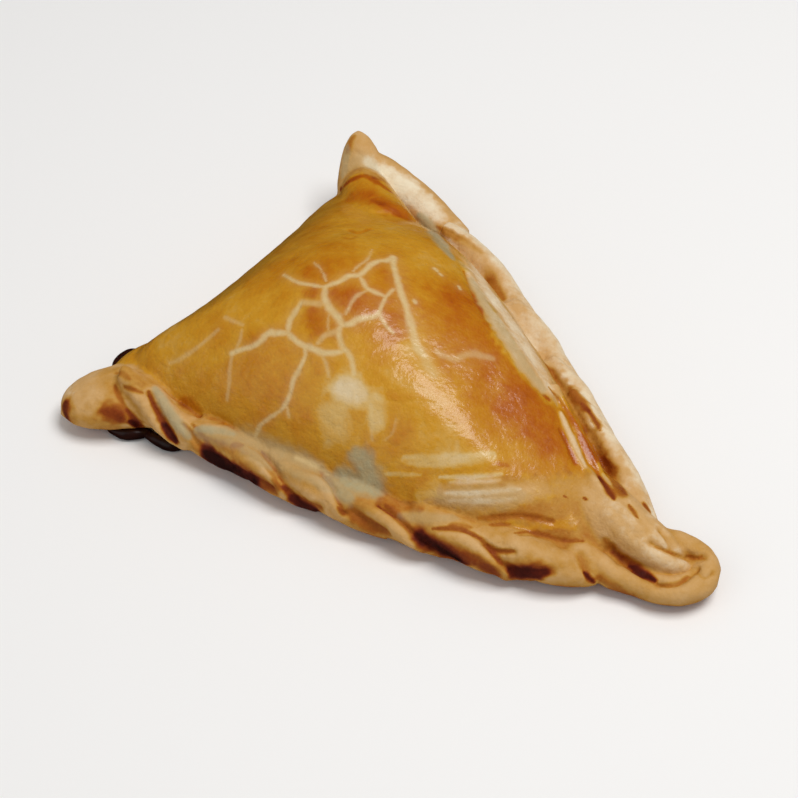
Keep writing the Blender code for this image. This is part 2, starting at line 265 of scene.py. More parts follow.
@dataclass(frozen=True)
class Lumps:
    """Smooth noise: how far it swings either way, the size of its lumps in millimetres, and its seed."""

    amount: float
    size: float
    seed: float

    def at(self, points: np.ndarray) -> np.ndarray:
        """The noise at each point."""
        shift = Vector((self.seed, -self.seed, 2 * self.seed))
        return self.amount * np.array([noise.noise(Vector(p) / self.size + shift) for p in points])


def inside_box(points: np.ndarray) -> np.ndarray:
    """The points held inside the solid's box, in millimetres."""
    low, high = (np.array(corner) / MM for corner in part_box(NODE))
    return np.clip(points, low, high)


def set_attribute(mesh: bpy.types.Mesh, name: str, values: np.ndarray) -> None:
    """Stores one number for each point of the mesh."""
    layer = mesh.attributes.get(name) or mesh.attributes.new(name, "FLOAT", "POINT")
    layer.data.foreach_set("value", np.asarray(values, np.float32))


def cubic(points: Sequence[Sequence[float]], count: int) -> np.ndarray:
    """A cubic curve's points, evenly spaced in its parameter, both ends included."""
    t = np.linspace(0, 1, count)[:, None]
    weights = ((1 - t) ** 3, 3 * t * (1 - t) ** 2, 3 * t**2 * (1 - t), t**3)
    return sum(w * np.array(p, float) for w, p in zip(weights, points))


def bent(points: Sequence[Sequence[float]], count: int) -> np.ndarray:
    """A curve through three points, evenly spaced in its parameter."""
    start, middle, end = (np.array(p, float) for p in points)
    t = np.linspace(0, 1, count)[:, None]
    return start * (1 - t) * (1 - 2 * t) + middle * 4 * t * (1 - t) + end * t * (2 * t - 1)


def even(points: np.ndarray, count: int, closed: bool = False) -> np.ndarray:
    """The same line with its rows at even distances in plan."""
    line = np.vstack([points, points[:1]]) if closed else np.asarray(points, float)
    length = np.concatenate([[0], np.cumsum(np.linalg.norm(np.diff(line[:, :2], axis=0), axis=1))])
    wanted = np.linspace(0, length[-1], count, endpoint=not closed)
    return np.column_stack([np.interp(wanted, length, column) for column in line.T])


def smoothed_loop(rows: np.ndarray, reach: float, step: float) -> np.ndarray:
    """A closed line with each row averaged with those within reach, the near ones counting most."""
    half = round(reach / step)
    shifted = [np.roll(rows, k, 0) * (half + 1 - abs(k)) for k in range(-half, half + 1)]
    return sum(shifted) / (half + 1) ** 2


# --------------------------------------------------------------------------- the camera


@dataclass(frozen=True)
class PhotoCamera:
    """The photo's camera, which also finds the place on the crust that a pixel shows."""

    azimuth: float = 17.16
    elevation: float = 48.0
    distance: float = 380.0
    target: Point3 = (-3.79, -8.27, 0.0)
    focal_pixels: float = 1847.9
    sensor_width: float = 36.0
    clip_start: float = 0.01

    def axes(self) -> tuple[np.ndarray, np.ndarray, np.ndarray]:
        """The camera's right, up and back directions."""
        turn, tilt = math.radians(self.azimuth), math.radians(self.elevation)
        level, rise = math.cos(tilt), math.sin(tilt)
        back = np.array([math.sin(turn) * level, -math.cos(turn) * level, rise])
        right = np.array([math.cos(turn), math.sin(turn), 0.0])
        return right, np.cross(back, right), back

    def position(self) -> np.ndarray:
        """Where the camera stands, in millimetres."""
        return np.array(self.target) + self.axes()[2] * self.distance

    def ray(self, pixel: Pixel) -> tuple[np.ndarray, np.ndarray]:
        """Where a pixel's line of sight starts, and its direction."""
        right, up, back = self.axes()
        aside, above = pixel[0] - PHOTO_SIZE / 2, PHOTO_SIZE / 2 - pixel[1]
        return self.position(), right * aside + up * above - back * self.focal_pixels

    def pinned(self, surface: BVHTree, pixel: Pixel) -> np.ndarray | None:
        """The point of the surface that a pixel shows.

        Args:
            surface: The crust, in millimetres.
            pixel: Column and row in the photo.

        Returns:
            The point, or None where the pixel looks past the crust.
        """
        start, way = self.ray(pixel)
        hit = surface.ray_cast(Vector(start), Vector(way).normalized())[0]
        return None if hit is None else np.array(hit)

    def at_height(self, pixel: Pixel, height: float) -> np.ndarray:
        """The point of that height above the tray that a pixel shows, in millimetres."""
        start, way = self.ray(pixel)
        return start + way * (height - start[2]) / way[2]

    def build(self) -> bpy.types.Object:
        """Makes the scene's camera."""
        lens = bpy.data.cameras.new("camera")
        lens.sensor_width = self.sensor_width
        lens.lens = self.focal_pixels / PHOTO_SIZE * self.sensor_width
        lens.clip_start = self.clip_start
        made = linked("camera", lens)
        right, up, back = self.axes()
        turn = Matrix((right, up, back)).transposed().to_4x4()
        made.matrix_world = Matrix.Translation(Vector(self.position()) * MM) @ turn
        bpy.context.scene.camera = made
        return made


# --------------------------------------------------------------------------- the pillow


@dataclass(frozen=True)
class Pillow:
    """The filled pillow, lofted from its outline up to the crown."""

    front_seam: tuple = ((-57.0, 7.0), (-34.0, -1.0), (25.0, -14.6), (46.0, -5.0))
    back_seam: tuple = ((-28.5, 79.2), (0.4, 80.0), (36.8, 28.6), (52.4, 7.0))
    fold_line: tuple = ((-31.5, 75.0), (-40.0, 60.0), (-42.5, 40.0), (-59.5, 15.0))
    corners: tuple = ((-57.0, 10.0), (-29.0, 76.0), (50.0, 2.0))
    corner_powers: tuple = (0.80, 1.05, 1.00)
    insets: tuple[float, float] = (3.0, 3.2)
    widest_heights: tuple[float, float, float] = (5.0, 5.0, 8.0)
    powers: tuple[float, float, float] = (0.60, 0.60, 0.85)
    back_corner_lift: float = 3.5
    corner_reach: float = 17.0
    corner_rounding: float = 5.0
    profile_rounding: float = 20.0
    dome_rounding: float = 26.0
    dome_rounding_share: float = 0.12
    base_inset_share: float = 0.8
    crown: Point3 = (-14.0, 30.0, 31.0)
    crown_radius: float = 34.0
    crown_power: float = 2.1
    dents: Lumps = Lumps(0.7, 22.0, 0.0)
    dent_fade: float = 12.0
    samples: int = 200
    segments: int = 260
    flank_rings: int = 8
    dome_rings: int = 56
    ring_power: float = 1.3

    def outline(self) -> np.ndarray:
        """The widest line, counterclockwise, as rows of x, y, widest height and power."""
        lines = (
            self.inset(cubic(self.front_seam, self.samples), self.insets[0]),
            self.inset(cubic(self.back_seam[::-1], self.samples), self.insets[1]),
            cubic(self.fold_line, self.samples),
        )
        facts = [np.tile(pair, (self.samples, 1)) for pair in zip(self.widest_heights, self.powers)]
        rows = np.vstack([np.column_stack(pair) for pair in zip(lines, facts)])
        rows = even(rows, 3 * self.samples, closed=True)
        step = np.linalg.norm(rows[1, :2] - rows[0, :2])
        plan = smoothed_loop(rows[:, :2], self.corner_rounding, step)
        profile = smoothed_loop(rows[:, 2:], self.profile_rounding, step)
        for corner, power in zip(self.corners, self.corner_powers):
            profile[:, 1:] += (power - profile[:, 1:]) * self.nearness(plan, corner)
        profile[:, :1] += self.back_corner_lift * self.nearness(plan, self.corners[1])
        return even(np.column_stack([plan, profile]), self.segments, closed=True)

    def nearness(self, points: np.ndarray, centre: Pixel) -> np.ndarray:
        """1 at a corner, falling smoothly to 0 away from it."""
        gap = np.linalg.norm(points - np.array(centre), axis=1)
        return np.exp(-((gap / self.corner_reach) ** 2))[:, None]

    @staticmethod
    def inset(points: np.ndarray, distance: float) -> np.ndarray:
        """A line moved to its left, square to its run."""
        run = np.gradient(points, axis=0)
        run /= np.linalg.norm(run, axis=1, keepdims=True)
        return points + distance * np.column_stack([-run[:, 1], run[:, 0]])

    def build(self) -> bpy.types.Mesh:
        """Makes the closed pillow, in the drawing's own place."""
        rows = self.outline()
        plan, widest, power = rows[:, :2], rows[:, 2], rows[:, 3]
        crown = np.array(self.crown[:2])
        reach = np.linalg.norm(plan - crown, axis=1, keepdims=True)
        direction = (plan - crown) / reach
        rings = []
        for k in range(self.flank_rings):
            turn = math.pi / 2 * k / self.flank_rings
            tucked = (widest * self.base_inset_share * (1 - math.sin(turn)))[:, None]
            rings.append(np.column_stack([plan - direction * tucked, widest * (1 - math.cos(turn))]))
        for k in range(self.dome_rings):
            t = (k / self.dome_rings) ** self.ring_power
            radius = (1 - t) * ((1 - t) * reach + t * self.crown_radius)
            rise = (1 - (1 - t) ** self.crown_power) ** power
            ring = np.column_stack([crown + direction * radius, widest + (self.crown[2] - widest) * rise])
            step = np.linalg.norm(np.diff(ring, axis=0), axis=1).mean()
            rounding = min(self.dome_rounding * t, self.dome_rounding_share * step * len(ring))
            rings.append(smoothed_loop(ring, rounding, step))
        points = np.vstack([*rings, [(*self.crown[:2], 0.0)], [self.crown]])
        shallow = np.minimum(1.0, points[:, 2] / self.dent_fade)
        points[:, 2] += self.dents.at(points) * shallow
        return mesh_from("pillow", points, tube_faces(len(rings), self.segments))


def tube_faces(rings: int, sides: int) -> list[tuple[int, ...]]:
    """Faces of a stack of rings closed by a fan at each end; the two tips come after the rings."""
    faces: list[tuple[int, ...]] = []
    for i in range(rings - 1):
        for j in range(sides):
            k = (j + 1) % sides
            faces.append((i * sides + j, i * sides + k, (i + 1) * sides + k, (i + 1) * sides + j))
    for j in range(sides):
        k = (j + 1) % sides
        faces.append((rings * sides, k, j))
        faces.append((rings * sides + 1, (rings - 1) * sides + j, (rings - 1) * sides + k))
    return faces


# --------------------------------------------------------------------------- ropes and ends


@dataclass(frozen=True)
class SeamLine:
    """A seam in plan with the way out from the pillow and the height of the rope on it."""

    curve: tuple
    outside: float
    lift: float
    lift_reach: float
    rope_height: float = 4.7
    samples: int = 200

    def points(self) -> np.ndarray:
        """The seam's points in plan, evenly spaced."""
        return even(cubic(self.curve, self.samples), self.samples)

    def length(self) -> float:
        """The seam's length in plan."""
        return float(np.linalg.norm(np.diff(self.points(), axis=0), axis=1).sum())

    def at(self, distance: float, outward: float = 0.0, rise: float = 0.0) -> np.ndarray:
        """The point at a distance along the seam, that far out and above the rope's middle height."""
        points = self.points()
        along = np.concatenate([[0], np.cumsum(np.linalg.norm(np.diff(points, axis=0), axis=1))])
        held = min(max(distance, 0.0), along[-1])
        tangent = np.gradient(points, axis=0)
        tangent /= np.linalg.norm(tangent, axis=1, keepdims=True)
        spot = np.array([np.interp(held, along, column) for column in points.T])
        way = np.array([np.interp(held, along, column) for column in tangent.T])
        spot = spot + way * (distance - held) + np.array([way[1], -way[0]]) * self.outside * outward
        return np.array([*spot, self.rope_height + self.lift * math.exp(-held / self.lift_reach) + rise])


@dataclass
class RopeTree:
    """The Geometry Nodes tree that lays crimped strands along a seam.

    Its object holds the strands as rows of points joined by edges, with their start, length, girth and
    share along the strand as attributes. The tree moves each row onto the seam, from its inner top to
    its outer bottom, and sweeps a flattened round of dough along it.
    """

    outward: tuple[float, float] = (-2.2, 1.0)
    rise: tuple[float, float] = (3.2, -1.4)
    end_share: float = 0.1
    swell_power: float = 0.8
    sides: int = 28
    rings: int = 48
    wobble: float = 0.35
    wobble_size: float = 9.0
    tree: bpy.types.NodeTree | None = field(default=None, init=False)

    def inputs(self) -> tuple[tuple[str, str, object], ...]:
        """The tree's inputs: name, socket type and value."""
        number = "NodeSocketFloat"
        return (
            ("Outside", number, 1.0),
            ("Seam length", number, 1.0),
            ("Inner offset", number, self.outward[0]),
            ("Outer offset", number, self.outward[1]),
            ("Top rise", number, self.rise[0]),
            ("Bottom rise", number, self.rise[1]),
            ("Rope height", number, 0.0),
            ("End lift", number, 0.0),
            ("Lift reach", number, 1.0),
            ("Wobble", number, self.wobble),
            ("Wobble seed", number, 0.0),
            ("Sides", "NodeSocketInt", self.sides),
            ("Seam", "NodeSocketObject", None),
            ("Dough", "NodeSocketMaterial", None),
        )

    def build(self) -> bpy.types.NodeTree:
        """Makes the tree, which every rope then uses."""
        self.tree = tree = bpy.data.node_groups.new("crimped_rope", "GeometryNodeTree")
        tree.interface.new_socket("Geometry", in_out="INPUT", socket_type="NodeSocketGeometry")
        tree.interface.new_socket("Geometry", in_out="OUTPUT", socket_type="NodeSocketGeometry")
        for name, kind, value in self.inputs():
            socket = tree.interface.new_socket(name, in_out="INPUT", socket_type=kind)
            if value is not None:
                socket.default_value = value
        given = add_node(tree, "NodeGroupInput").outputs
        values = {socket.name: socket for socket in given if socket.name}
        for name in ("start", "length", "girth", "share"):
            ins = {"Name": name}
            values[name] = add_node(tree, "GeometryNodeInputNamedAttribute", ins, data_type="FLOAT")
        # Each row is a value's name, how it is worked out and from what, in order.
        for name, operation, *terms in (
            ("distance", "MULTIPLY_ADD", "length", "share", "start"),
            ("held", "MAXIMUM", "distance", 0.0),
            ("held", "MINIMUM", "held", "Seam length"),
            ("past", "SUBTRACT", "distance", "held"),
            ("crossing", "SUBTRACT", "Outer offset", "Inner offset"),
            ("outward", "MULTIPLY_ADD", "crossing", "share", "Inner offset"),
            ("outward", "MULTIPLY", "outward", "Outside"),
            ("falling", "SUBTRACT", "Bottom rise", "Top rise"),
            ("rise", "MULTIPLY_ADD", "falling", "share", "Top rise"),
            ("fade", "DIVIDE", "held", "Lift reach"),
            ("fade", "MULTIPLY", "fade", -1.0),
            ("fade", "EXPONENT", "fade"),
            ("height", "MULTIPLY_ADD", "End lift", "fade", "Rope height"),
            ("height", "ADD", "height", "rise"),
            ("swell", "MULTIPLY_ADD", "share", math.pi * (1 - 2 * self.end_share), math.pi * self.end_share),
            ("swell", "SINE", "swell"),
            ("swell", "POWER", "swell", self.swell_power),
            ("thickness", "MULTIPLY", "swell", "girth"),
        ):
            ins = {i: values.get(term, term) for i, term in enumerate(terms)}
            values[name] = add_node(tree, "ShaderNodeMath", ins, operation=operation)
        seam = add_node(tree, "GeometryNodeObjectInfo", {"Object": given["Seam"]}, transform_space="ORIGINAL")
        ins = {"Curves": seam.outputs["Geometry"], "Length": values["held"]}
        sample = add_node(tree, "GeometryNodeSampleCurve", ins, mode="LENGTH", use_all_curves=True).outputs
        tangent, spot = sample["Tangent"], sample["Position"]
        out = add_node(tree, "ShaderNodeVectorMath", {0: tangent, 1: (0, 0, 1)}, operation="CROSS_PRODUCT")
        lifted = add_node(tree, "ShaderNodeCombineXYZ", {"Z": values["height"]})
        for way, amount in ((tangent, values["past"]), (out, values["outward"]), (lifted, 1.0)):
            step = add_node(tree, "ShaderNodeVectorMath", {0: way, "Scale": amount}, operation="SCALE")
            spot = add_node(tree, "ShaderNodeVectorMath", {0: spot, 1: step}, operation="ADD")
        ins = {"Vector": spot, "W": given["Wobble seed"], "Scale": 1 / self.wobble_size, "Detail": 1.0}
        wander = add_node(tree, "ShaderNodeTexNoise", ins, noise_dimensions="4D").outputs["Color"]
        centred = add_node(tree, "ShaderNodeVectorMath", {0: wander, 1: (0.5,) * 3}, operation="SUBTRACT")
        ins = {0: centred, "Scale": given["Wobble"]}
        shaken = add_node(tree, "ShaderNodeVectorMath", ins, operation="SCALE")
        spot = add_node(tree, "ShaderNodeVectorMath", {0: spot, 1: shaken}, operation="ADD")
        laid = add_node(tree, "GeometryNodeSetPosition", {"Geometry": given["Geometry"], "Position": spot})
        line = add_node(tree, "GeometryNodeMeshToCurve", {"Mesh": laid})
        line = add_node(tree, "GeometryNodeSetCurveNormal", {"Curve": line}, mode="Z_UP")
        ins = {"Resolution": given["Sides"], "Radius": 1.0}
        profile = add_node(tree, "GeometryNodeCurvePrimitiveCircle", ins).outputs["Curve"]
        ins = {"Curve": line, "Profile Curve": profile, "Scale": values["thickness"], "Fill Caps": True}
        swept = add_node(tree, "GeometryNodeCurveToMesh", ins)
        real = add_node(tree, "GeometryNodeRealizeInstances", {"Geometry": swept})
        dressed = add_node(tree, "GeometryNodeSetMaterial", {"Geometry": real, "Material": given["Dough"]})
        add_node(tree, "NodeGroupOutput", {"Geometry": dressed})
        return tree


@dataclass(frozen=True)
class Rope:
    """One seam's rope: a core with crimped strands laid over it by the rope tree.

    A strand is its start along the seam, its length along it and its girth.
    """

    name: str
    seam: SeamLine
    strands: tuple[Point3, ...]
    seed: float
    core_radius: float = 3.0
    core_inset: float = 0.6
    core_rings: int = 60
    core_end_share: float = 0.5
    core_taper: float = 0.05

    def strand_table(self, rings: int) -> bpy.types.Object:
        """The strands as rows of points with their facts as attributes."""
        rows = len(self.strands)
        edges = [(i * rings + k, i * rings + k + 1) for i in range(rows) for k in range(rings - 1)]
        mesh = bpy.data.meshes.new(self.name)
        mesh.from_pydata([(float(i), float(k), 0.0) for i in range(rows) for k in range(rings)], edges, [])
        facts = np.repeat(np.array(self.strands), rings, axis=0)
        for name, column in zip(("start", "length", "girth"), facts.T):
            set_attribute(mesh, name, column)
        set_attribute(mesh, "share", np.tile(np.linspace(0, 1, rings), rows))
        return linked(self.name, mesh)

    def seam_curve(self) -> bpy.types.Object:
        """The seam as a curve for the tree to follow."""
        data = bpy.data.curves.new(f"{self.name}_seam", "CURVE")
        data.dimensions = "3D"
        spline = data.splines.new("POLY")
        points = self.seam.points()
        spline.points.add(len(points) - 1)
        for target, (x, y) in zip(spline.points, points):
            target.co = (x, y, 0.0, 1.0)
        return linked(f"{self.name}_seam", data)

    def build(self, rope_tree: RopeTree, dough: bpy.types.Material) -> list[bpy.types.Mesh]:
        """Makes the rope's meshes.

        Args:
            rope_tree: The strands' tree, already built.
            dough: The material that the tree sets.

        Returns:
            The strands in one mesh, and the core.
        """
        table, seam = self.strand_table(rope_tree.rings), self.seam_curve()
        modifier = table.modifiers.new("crimp", "NODES")
        modifier.node_group = rope_tree.tree
        values = {
            "Outside": self.seam.outside,
            "Seam length": self.seam.length(),
            "Rope height": self.seam.rope_height,
            "End lift": self.seam.lift,
            "Lift reach": self.seam.lift_reach,
            "Wobble seed": self.seed,
            "Seam": seam,
            "Dough": dough,
        }
        for item in rope_tree.tree.interface.items_tree:
            if item.in_out == "INPUT" and item.name in values:
                modifier[item.identifier] = values[item.name]
        strands = baked(table)
        for used in (table, seam):
            bpy.data.objects.remove(used, do_unlink=True)
        return [strands, self.core()]

    def core(self) -> bpy.types.Mesh:
        """The rope's core, which fills the space under its strands."""
        length = self.seam.length()
        places = np.linspace(0, length, self.core_rings)
        centres = [self.seam.at(s, -self.core_inset) for s in places]
        shares = [min(1.0, self.core_end_share + self.core_taper * min(s, length - s)) for s in places]
        return swept_tube(f"{self.name}_core", np.array(centres), self.core_radius * np.array(shares))


def swept_tube(
    name: str,
    centres: np.ndarray,
    radii: np.ndarray,
    flatness: float = 1.0,
    sides: int = 40,
    tip: float = 0.5,
) -> bpy.types.Mesh:
    """A closed tube along a line of centres, its ends rounded off.

    Args:
        name: The mesh's name.
        centres: The middle of each ring.
        radii: Each ring's half width.
        flatness: The rings' height as a share of their width.
        sides: How many points a ring has.
        tip: How far the tips stand past the end rings, as a share of their radius.

    Returns:
        The tube's mesh.
    """
    way = np.gradient(centres, axis=0)
    way /= np.linalg.norm(way, axis=1, keepdims=True)
    turn = np.arange(sides) * 2 * math.pi / sides
    rings = []
    for centre, forward, radius in zip(centres, way, radii):
        level = np.cross((0, 0, 1), forward)
        level /= np.linalg.norm(level)
        steep = np.cross(forward, level) * flatness
        rings.append(centre + radius * (np.outer(np.cos(turn), level) + np.outer(np.sin(turn), steep)))
    tips = [centres[0] - way[0] * radii[0] * tip, centres[-1] + way[-1] * radii[-1] * tip]
    return mesh_from(name, np.vstack([*rings, tips]), tube_faces(len(rings), sides))


@dataclass(frozen=True)
class DoughEnd:
    """A tapered end of dough, from its root over a middle point to its rounded tip.

    Each of its three rows is a place and the dough's half width there.
    """

    name: str
    zone: Zone
    rows: tuple[tuple[float, float, float, float], ...]
    flatness: float = 1.0
    tip_sharpness: int = 8
    samples: int = 300
    rings: int = 40
    last_ring: float = 0.99

    def build(self) -> bpy.types.Mesh:
        """Makes the end's mesh."""
        rows = bent(self.rows, self.samples)
        shares = self.last_ring * np.sin(np.linspace(0, math.pi / 2, self.rings))
        places = np.linspace(0, 1, self.samples)
        rows = np.column_stack([np.interp(shares, places, column) for column in rows.T])
        rounding = np.sqrt(1 - shares**self.tip_sharpness)
        return swept_tube(self.name, rows[:, :3], rows[:, 3] * rounding, self.flatness)


@dataclass(frozen=True)
class Curl:
    """The front rope's last strand, which curls round the tongue and tucks in behind it."""

    start: tuple = ((39.0, -2.7, 5.4), (47.5, -5.6, 3.6))
    centre: Pixel = (56.9, -0.8)
    radii: tuple[float, float] = (7.4, 5.0)
    heights: tuple[float, float] = (3.0, 5.4)
    turn: tuple[float, float] = (math.radians(-122), math.radians(85))
    end: Point3 = (51.5, 4.2, 5.2)
    strand_radius: float = 2.8
    end_share: float = 0.78
    swell_share: float = 0.22
    arc_samples: int = 40
    rings: int = 80

    def build(self) -> bpy.types.Mesh:
        """Makes the curl's mesh."""
        t = np.linspace(0, 1, self.arc_samples)
        angle = self.turn[0] + (self.turn[1] - self.turn[0]) * t
        across = self.centre[0] + self.radii[0] * np.cos(angle)
        ahead = self.centre[1] + self.radii[1] * np.sin(angle)
        height = self.heights[0] + (self.heights[1] - self.heights[0]) * t
        arc = np.column_stack([across, ahead, height])
        centres = even(np.vstack([self.start, arc, [self.end]]), self.rings)
        swell = self.end_share + self.swell_share * np.sin(np.linspace(0, math.pi, self.rings))
        return swept_tube("curl", centres, self.strand_radius * swell)


@dataclass(frozen=True)
class Flap:
    """The thin fold of dough that lies on the pillow inside the back rope and runs into the tongue."""

    start: float = 80.0
    length: float = 33.0
    insets: tuple[float, float] = (7.8, 4.0)
    end_height: float = 7.2
    radius: float = 1.7
    start_share: float = 0.6
    rings: int = 50
    drop_height: float = 90.0

    def build(self, seam: SeamLine, pillow: BVHTree) -> bpy.types.Mesh:
        """Makes the flap's mesh, lying on the pillow."""
        centres, radii = [], []
        for t in np.linspace(0, 1, self.rings):
            aside = self.insets[0] + (self.insets[1] - self.insets[0]) * t**2
            spot = seam.at(self.start + self.length * t, -aside)
            hit = pillow.ray_cast(Vector((spot[0], spot[1], self.drop_height)), Vector((0, 0, -1)))[0]
            spot[2] = max(hit.z if hit else 0.0, self.end_height)
            centres.append(spot)
            radii.append(self.radius * (self.start_share + (1 - self.start_share) * t))
        return swept_tube("flap", np.array(centres), np.array(radii))


# --------------------------------------------------------------------------- folds and paint

# Every line below runs through pixels of the photo and is laid on the crust from the photo's camera.
# These are used more than once: for the form of a wrinkle, a crack or a ribbon, and for its paint.
TAB_WRINKLE = ((125, 387), (134, 390), (142, 393))
HORN_WRINKLE = ((349, 230), (358, 233), (370, 229))
ROPE_CRACK = ((296, 458), (310, 463), (320, 468), (328, 473))
STRAND_CREST = ((358, 453), (365, 466), (372, 482), (374, 492))
FIRST_RIBBON = ((476, 268), (490, 293), (509, 318), (524, 343), (538, 369), (549, 388))
FIRST_FOOT = ((464, 272), (479, 306), (498, 335), (514, 360), (530, 382), (549, 400))
SECOND_RIBBON = ((561, 413), (573, 440), (585, 466))
SECOND_BACK = ((549, 388), (562, 404), (575, 424), (588, 452), (601, 480), (614, 500))

FOLDS = (
    # The tab and the first two strands of the front rope, with the wrinkles between them.
    Fold(-0.60, 1.6, ((114, 386), (122, 402), (133, 418), (146, 432))),
    Fold(-1.10, 1.5, ((150, 395), (155, 408), (164, 425), (176, 442))),
    Fold(0.50, 2.2, ((122, 378), (137, 396), (151, 415), (164, 434), (182, 446))),
    Fold(0.40, 2.0, ((157, 388), (163, 400), (175, 417), (187, 431))),
    Fold(-0.50, 1.0, ((182, 424), (190, 433), (197, 445))),
    Fold(0.35, 0.9, ((130, 378), (136, 381), (141, 384))),
    Fold(-0.20, 0.9, ((115, 373), (121, 374), (128, 379))),
    Fold(-0.35, 0.9, TAB_WRINKLE),
    # The third strand, the flaky ridge behind it and the valley where it meets the pillow.
    Fold(0.50, 1.6, ((196, 428), (208, 428), (222, 429), (233, 433))),
    Fold(-0.35, 1.8, ((170, 398), (185, 411), (205, 417), (222, 420), (237, 431))),
    Fold(0.50, 2.4, ((203, 434), (228, 443), (250, 457), (266, 473), (280, 488))),
    Fold(-0.90, 2.2, ((212, 455), (232, 467), (255, 479), (272, 488))),
    # The fourth and fifth strands.
    Fold(-0.80, 1.2, ((262, 451), (272, 464), (278, 476), (287, 489), (299, 503))),
    Fold(0.40, 2.0, ((283, 466), (300, 475), (317, 480), (328, 491), (337, 508))),
    Fold(-0.60, 1.8, ((292, 494), (305, 502), (320, 508))),
    Fold(-0.70, 1.2, ((321, 472), (332, 486), (337, 500), (345, 514))),
    Fold(0.55, 2.2, ((350, 500), (368, 507), (385, 521), (402, 535), (420, 548))),
    Fold(-0.60, 1.8, ((352, 512), (366, 521), (385, 531))),
    # The sixth and seventh strands.
    Fold(-1.10, 1.4, ((378, 505), (392, 514), (403, 524), (413, 537), (428, 550), (446, 564))),
    Fold(0.55, 2.2, ((443, 536), (462, 540), (478, 548), (490, 560), (506, 578))),
    Fold(-0.70, 2.0, ((424, 545), (442, 556), (462, 566))),
    Fold(-0.50, 1.0, ((440, 530), (462, 531), (476, 537), (490, 548), (500, 552), (514, 552))),
    Fold(-0.80, 1.2, ((484, 545), (494, 556), (503, 565), (514, 576))),
    Fold(0.30, 3.0, ((515, 545), (540, 552), (562, 555), (580, 552))),
    Fold(-0.50, 1.8, ((508, 568), (528, 572), (550, 571))),
    # The curl round the tongue, and the tongue with its end lobes.
    Fold(-0.70, 1.8, ((580, 556), (585, 566), (590, 580))),
    Fold(0.40, 2.6, ((586, 547), (600, 555), (612, 568), (625, 581), (648, 592), (672, 597), (694, 592))),
    Fold(-1.10, 1.8, ((612, 550), (625, 562), (640, 573), (658, 583))),
    Fold(-0.80, 1.2, ((658, 585), (675, 585), (688, 577), (697, 569))),
    Fold(0.40, 3.0, ((612, 515), (635, 540), (660, 562), (685, 572))),
    Fold(-1.10, 1.6, ((652, 543), (666, 550), (680, 555), (693, 558), (704, 556))),
    Fold(-0.80, 1.3, ((661, 530), (668, 539), (672, 547))),
    Fold(-0.40, 0.9, ((698, 573), (706, 578), (713, 573))),
    Fold(-0.30, 0.8, ((700, 549), (708, 548), (715, 553))),
    # The ribbons of dough that lie along the back rope, and the crevice behind them.
    Fold(0.35, 3.0, ((469, 273), (485, 302), (502, 325), (517, 349), (533, 372), (548, 391))),
    Fold(-0.30, 1.2, FIRST_FOOT),
    Fold(0.45, 1.5, ((561, 413), (573, 440), (585, 466), (612, 500), (640, 530))),
    Fold(-0.35, 0.9, ((560, 430), (566, 443), (575, 463))),
    Fold(-0.35, 1.5, SECOND_BACK),
    Fold(-0.35, 3.0, ((590, 440), (602, 462), (616, 485))),
    Fold(0.30, 1.6, ((420, 217), (432, 229), (445, 243), (455, 252), (465, 262))),
    Fold(-0.35, 0.9, ((448, 230), (463, 240), (480, 251))),
    Fold(-0.30, 1.0, ((545, 358), (566, 368))),
    # Creases in the crust above the front rope.
    Fold(-0.35, 1.4, ((328, 473), (340, 477), (357, 479))),
    Fold(0.30, 1.2, ROPE_CRACK),
    Fold(-0.30, 1.2, ((492, 517), (515, 516), (540, 519), (552, 522))),
    Fold(-0.30, 1.2, ((520, 534), (545, 536), (560, 540), (582, 541))),
    Fold(0.25, 3.0, ((420, 495), (460, 497), (500, 496), (545, 492))),
    Fold(-0.30, 1.0, HORN_WRINKLE),
    Fold(-0.25, 1.0, ((357, 152), (366, 158))),
)

# Where one roll of dough runs into the next without a crease, with how far to each side.
BLENDS = (
    Fold(0.9, 5.0, ((192, 420), (237, 437), (285, 457), (330, 476))),
    Fold(1.0, 6.0, ((330, 476), (380, 498), (440, 522))),
    Fold(1.0, 6.0, ((440, 522), (500, 533), (590, 543))),
    Fold(1.0, 6.0, ((590, 497), (603, 512), (600, 535), (592, 552))),
    Fold(1.0, 7.0, ((338, 200), (352, 192), (372, 196), (400, 212))),
    Fold(1.0, 5.5, ((112, 360), (116, 368), (118, 376))),
    Fold(0.9, 5.0, ((118, 360), (130, 366), (150, 384))),
    Fold(1.0, 4.5, ((114, 368), (118, 378), (122, 384))),
    Fold(1.0, 4.0, ((500, 290), (525, 328), (548, 362))),
)

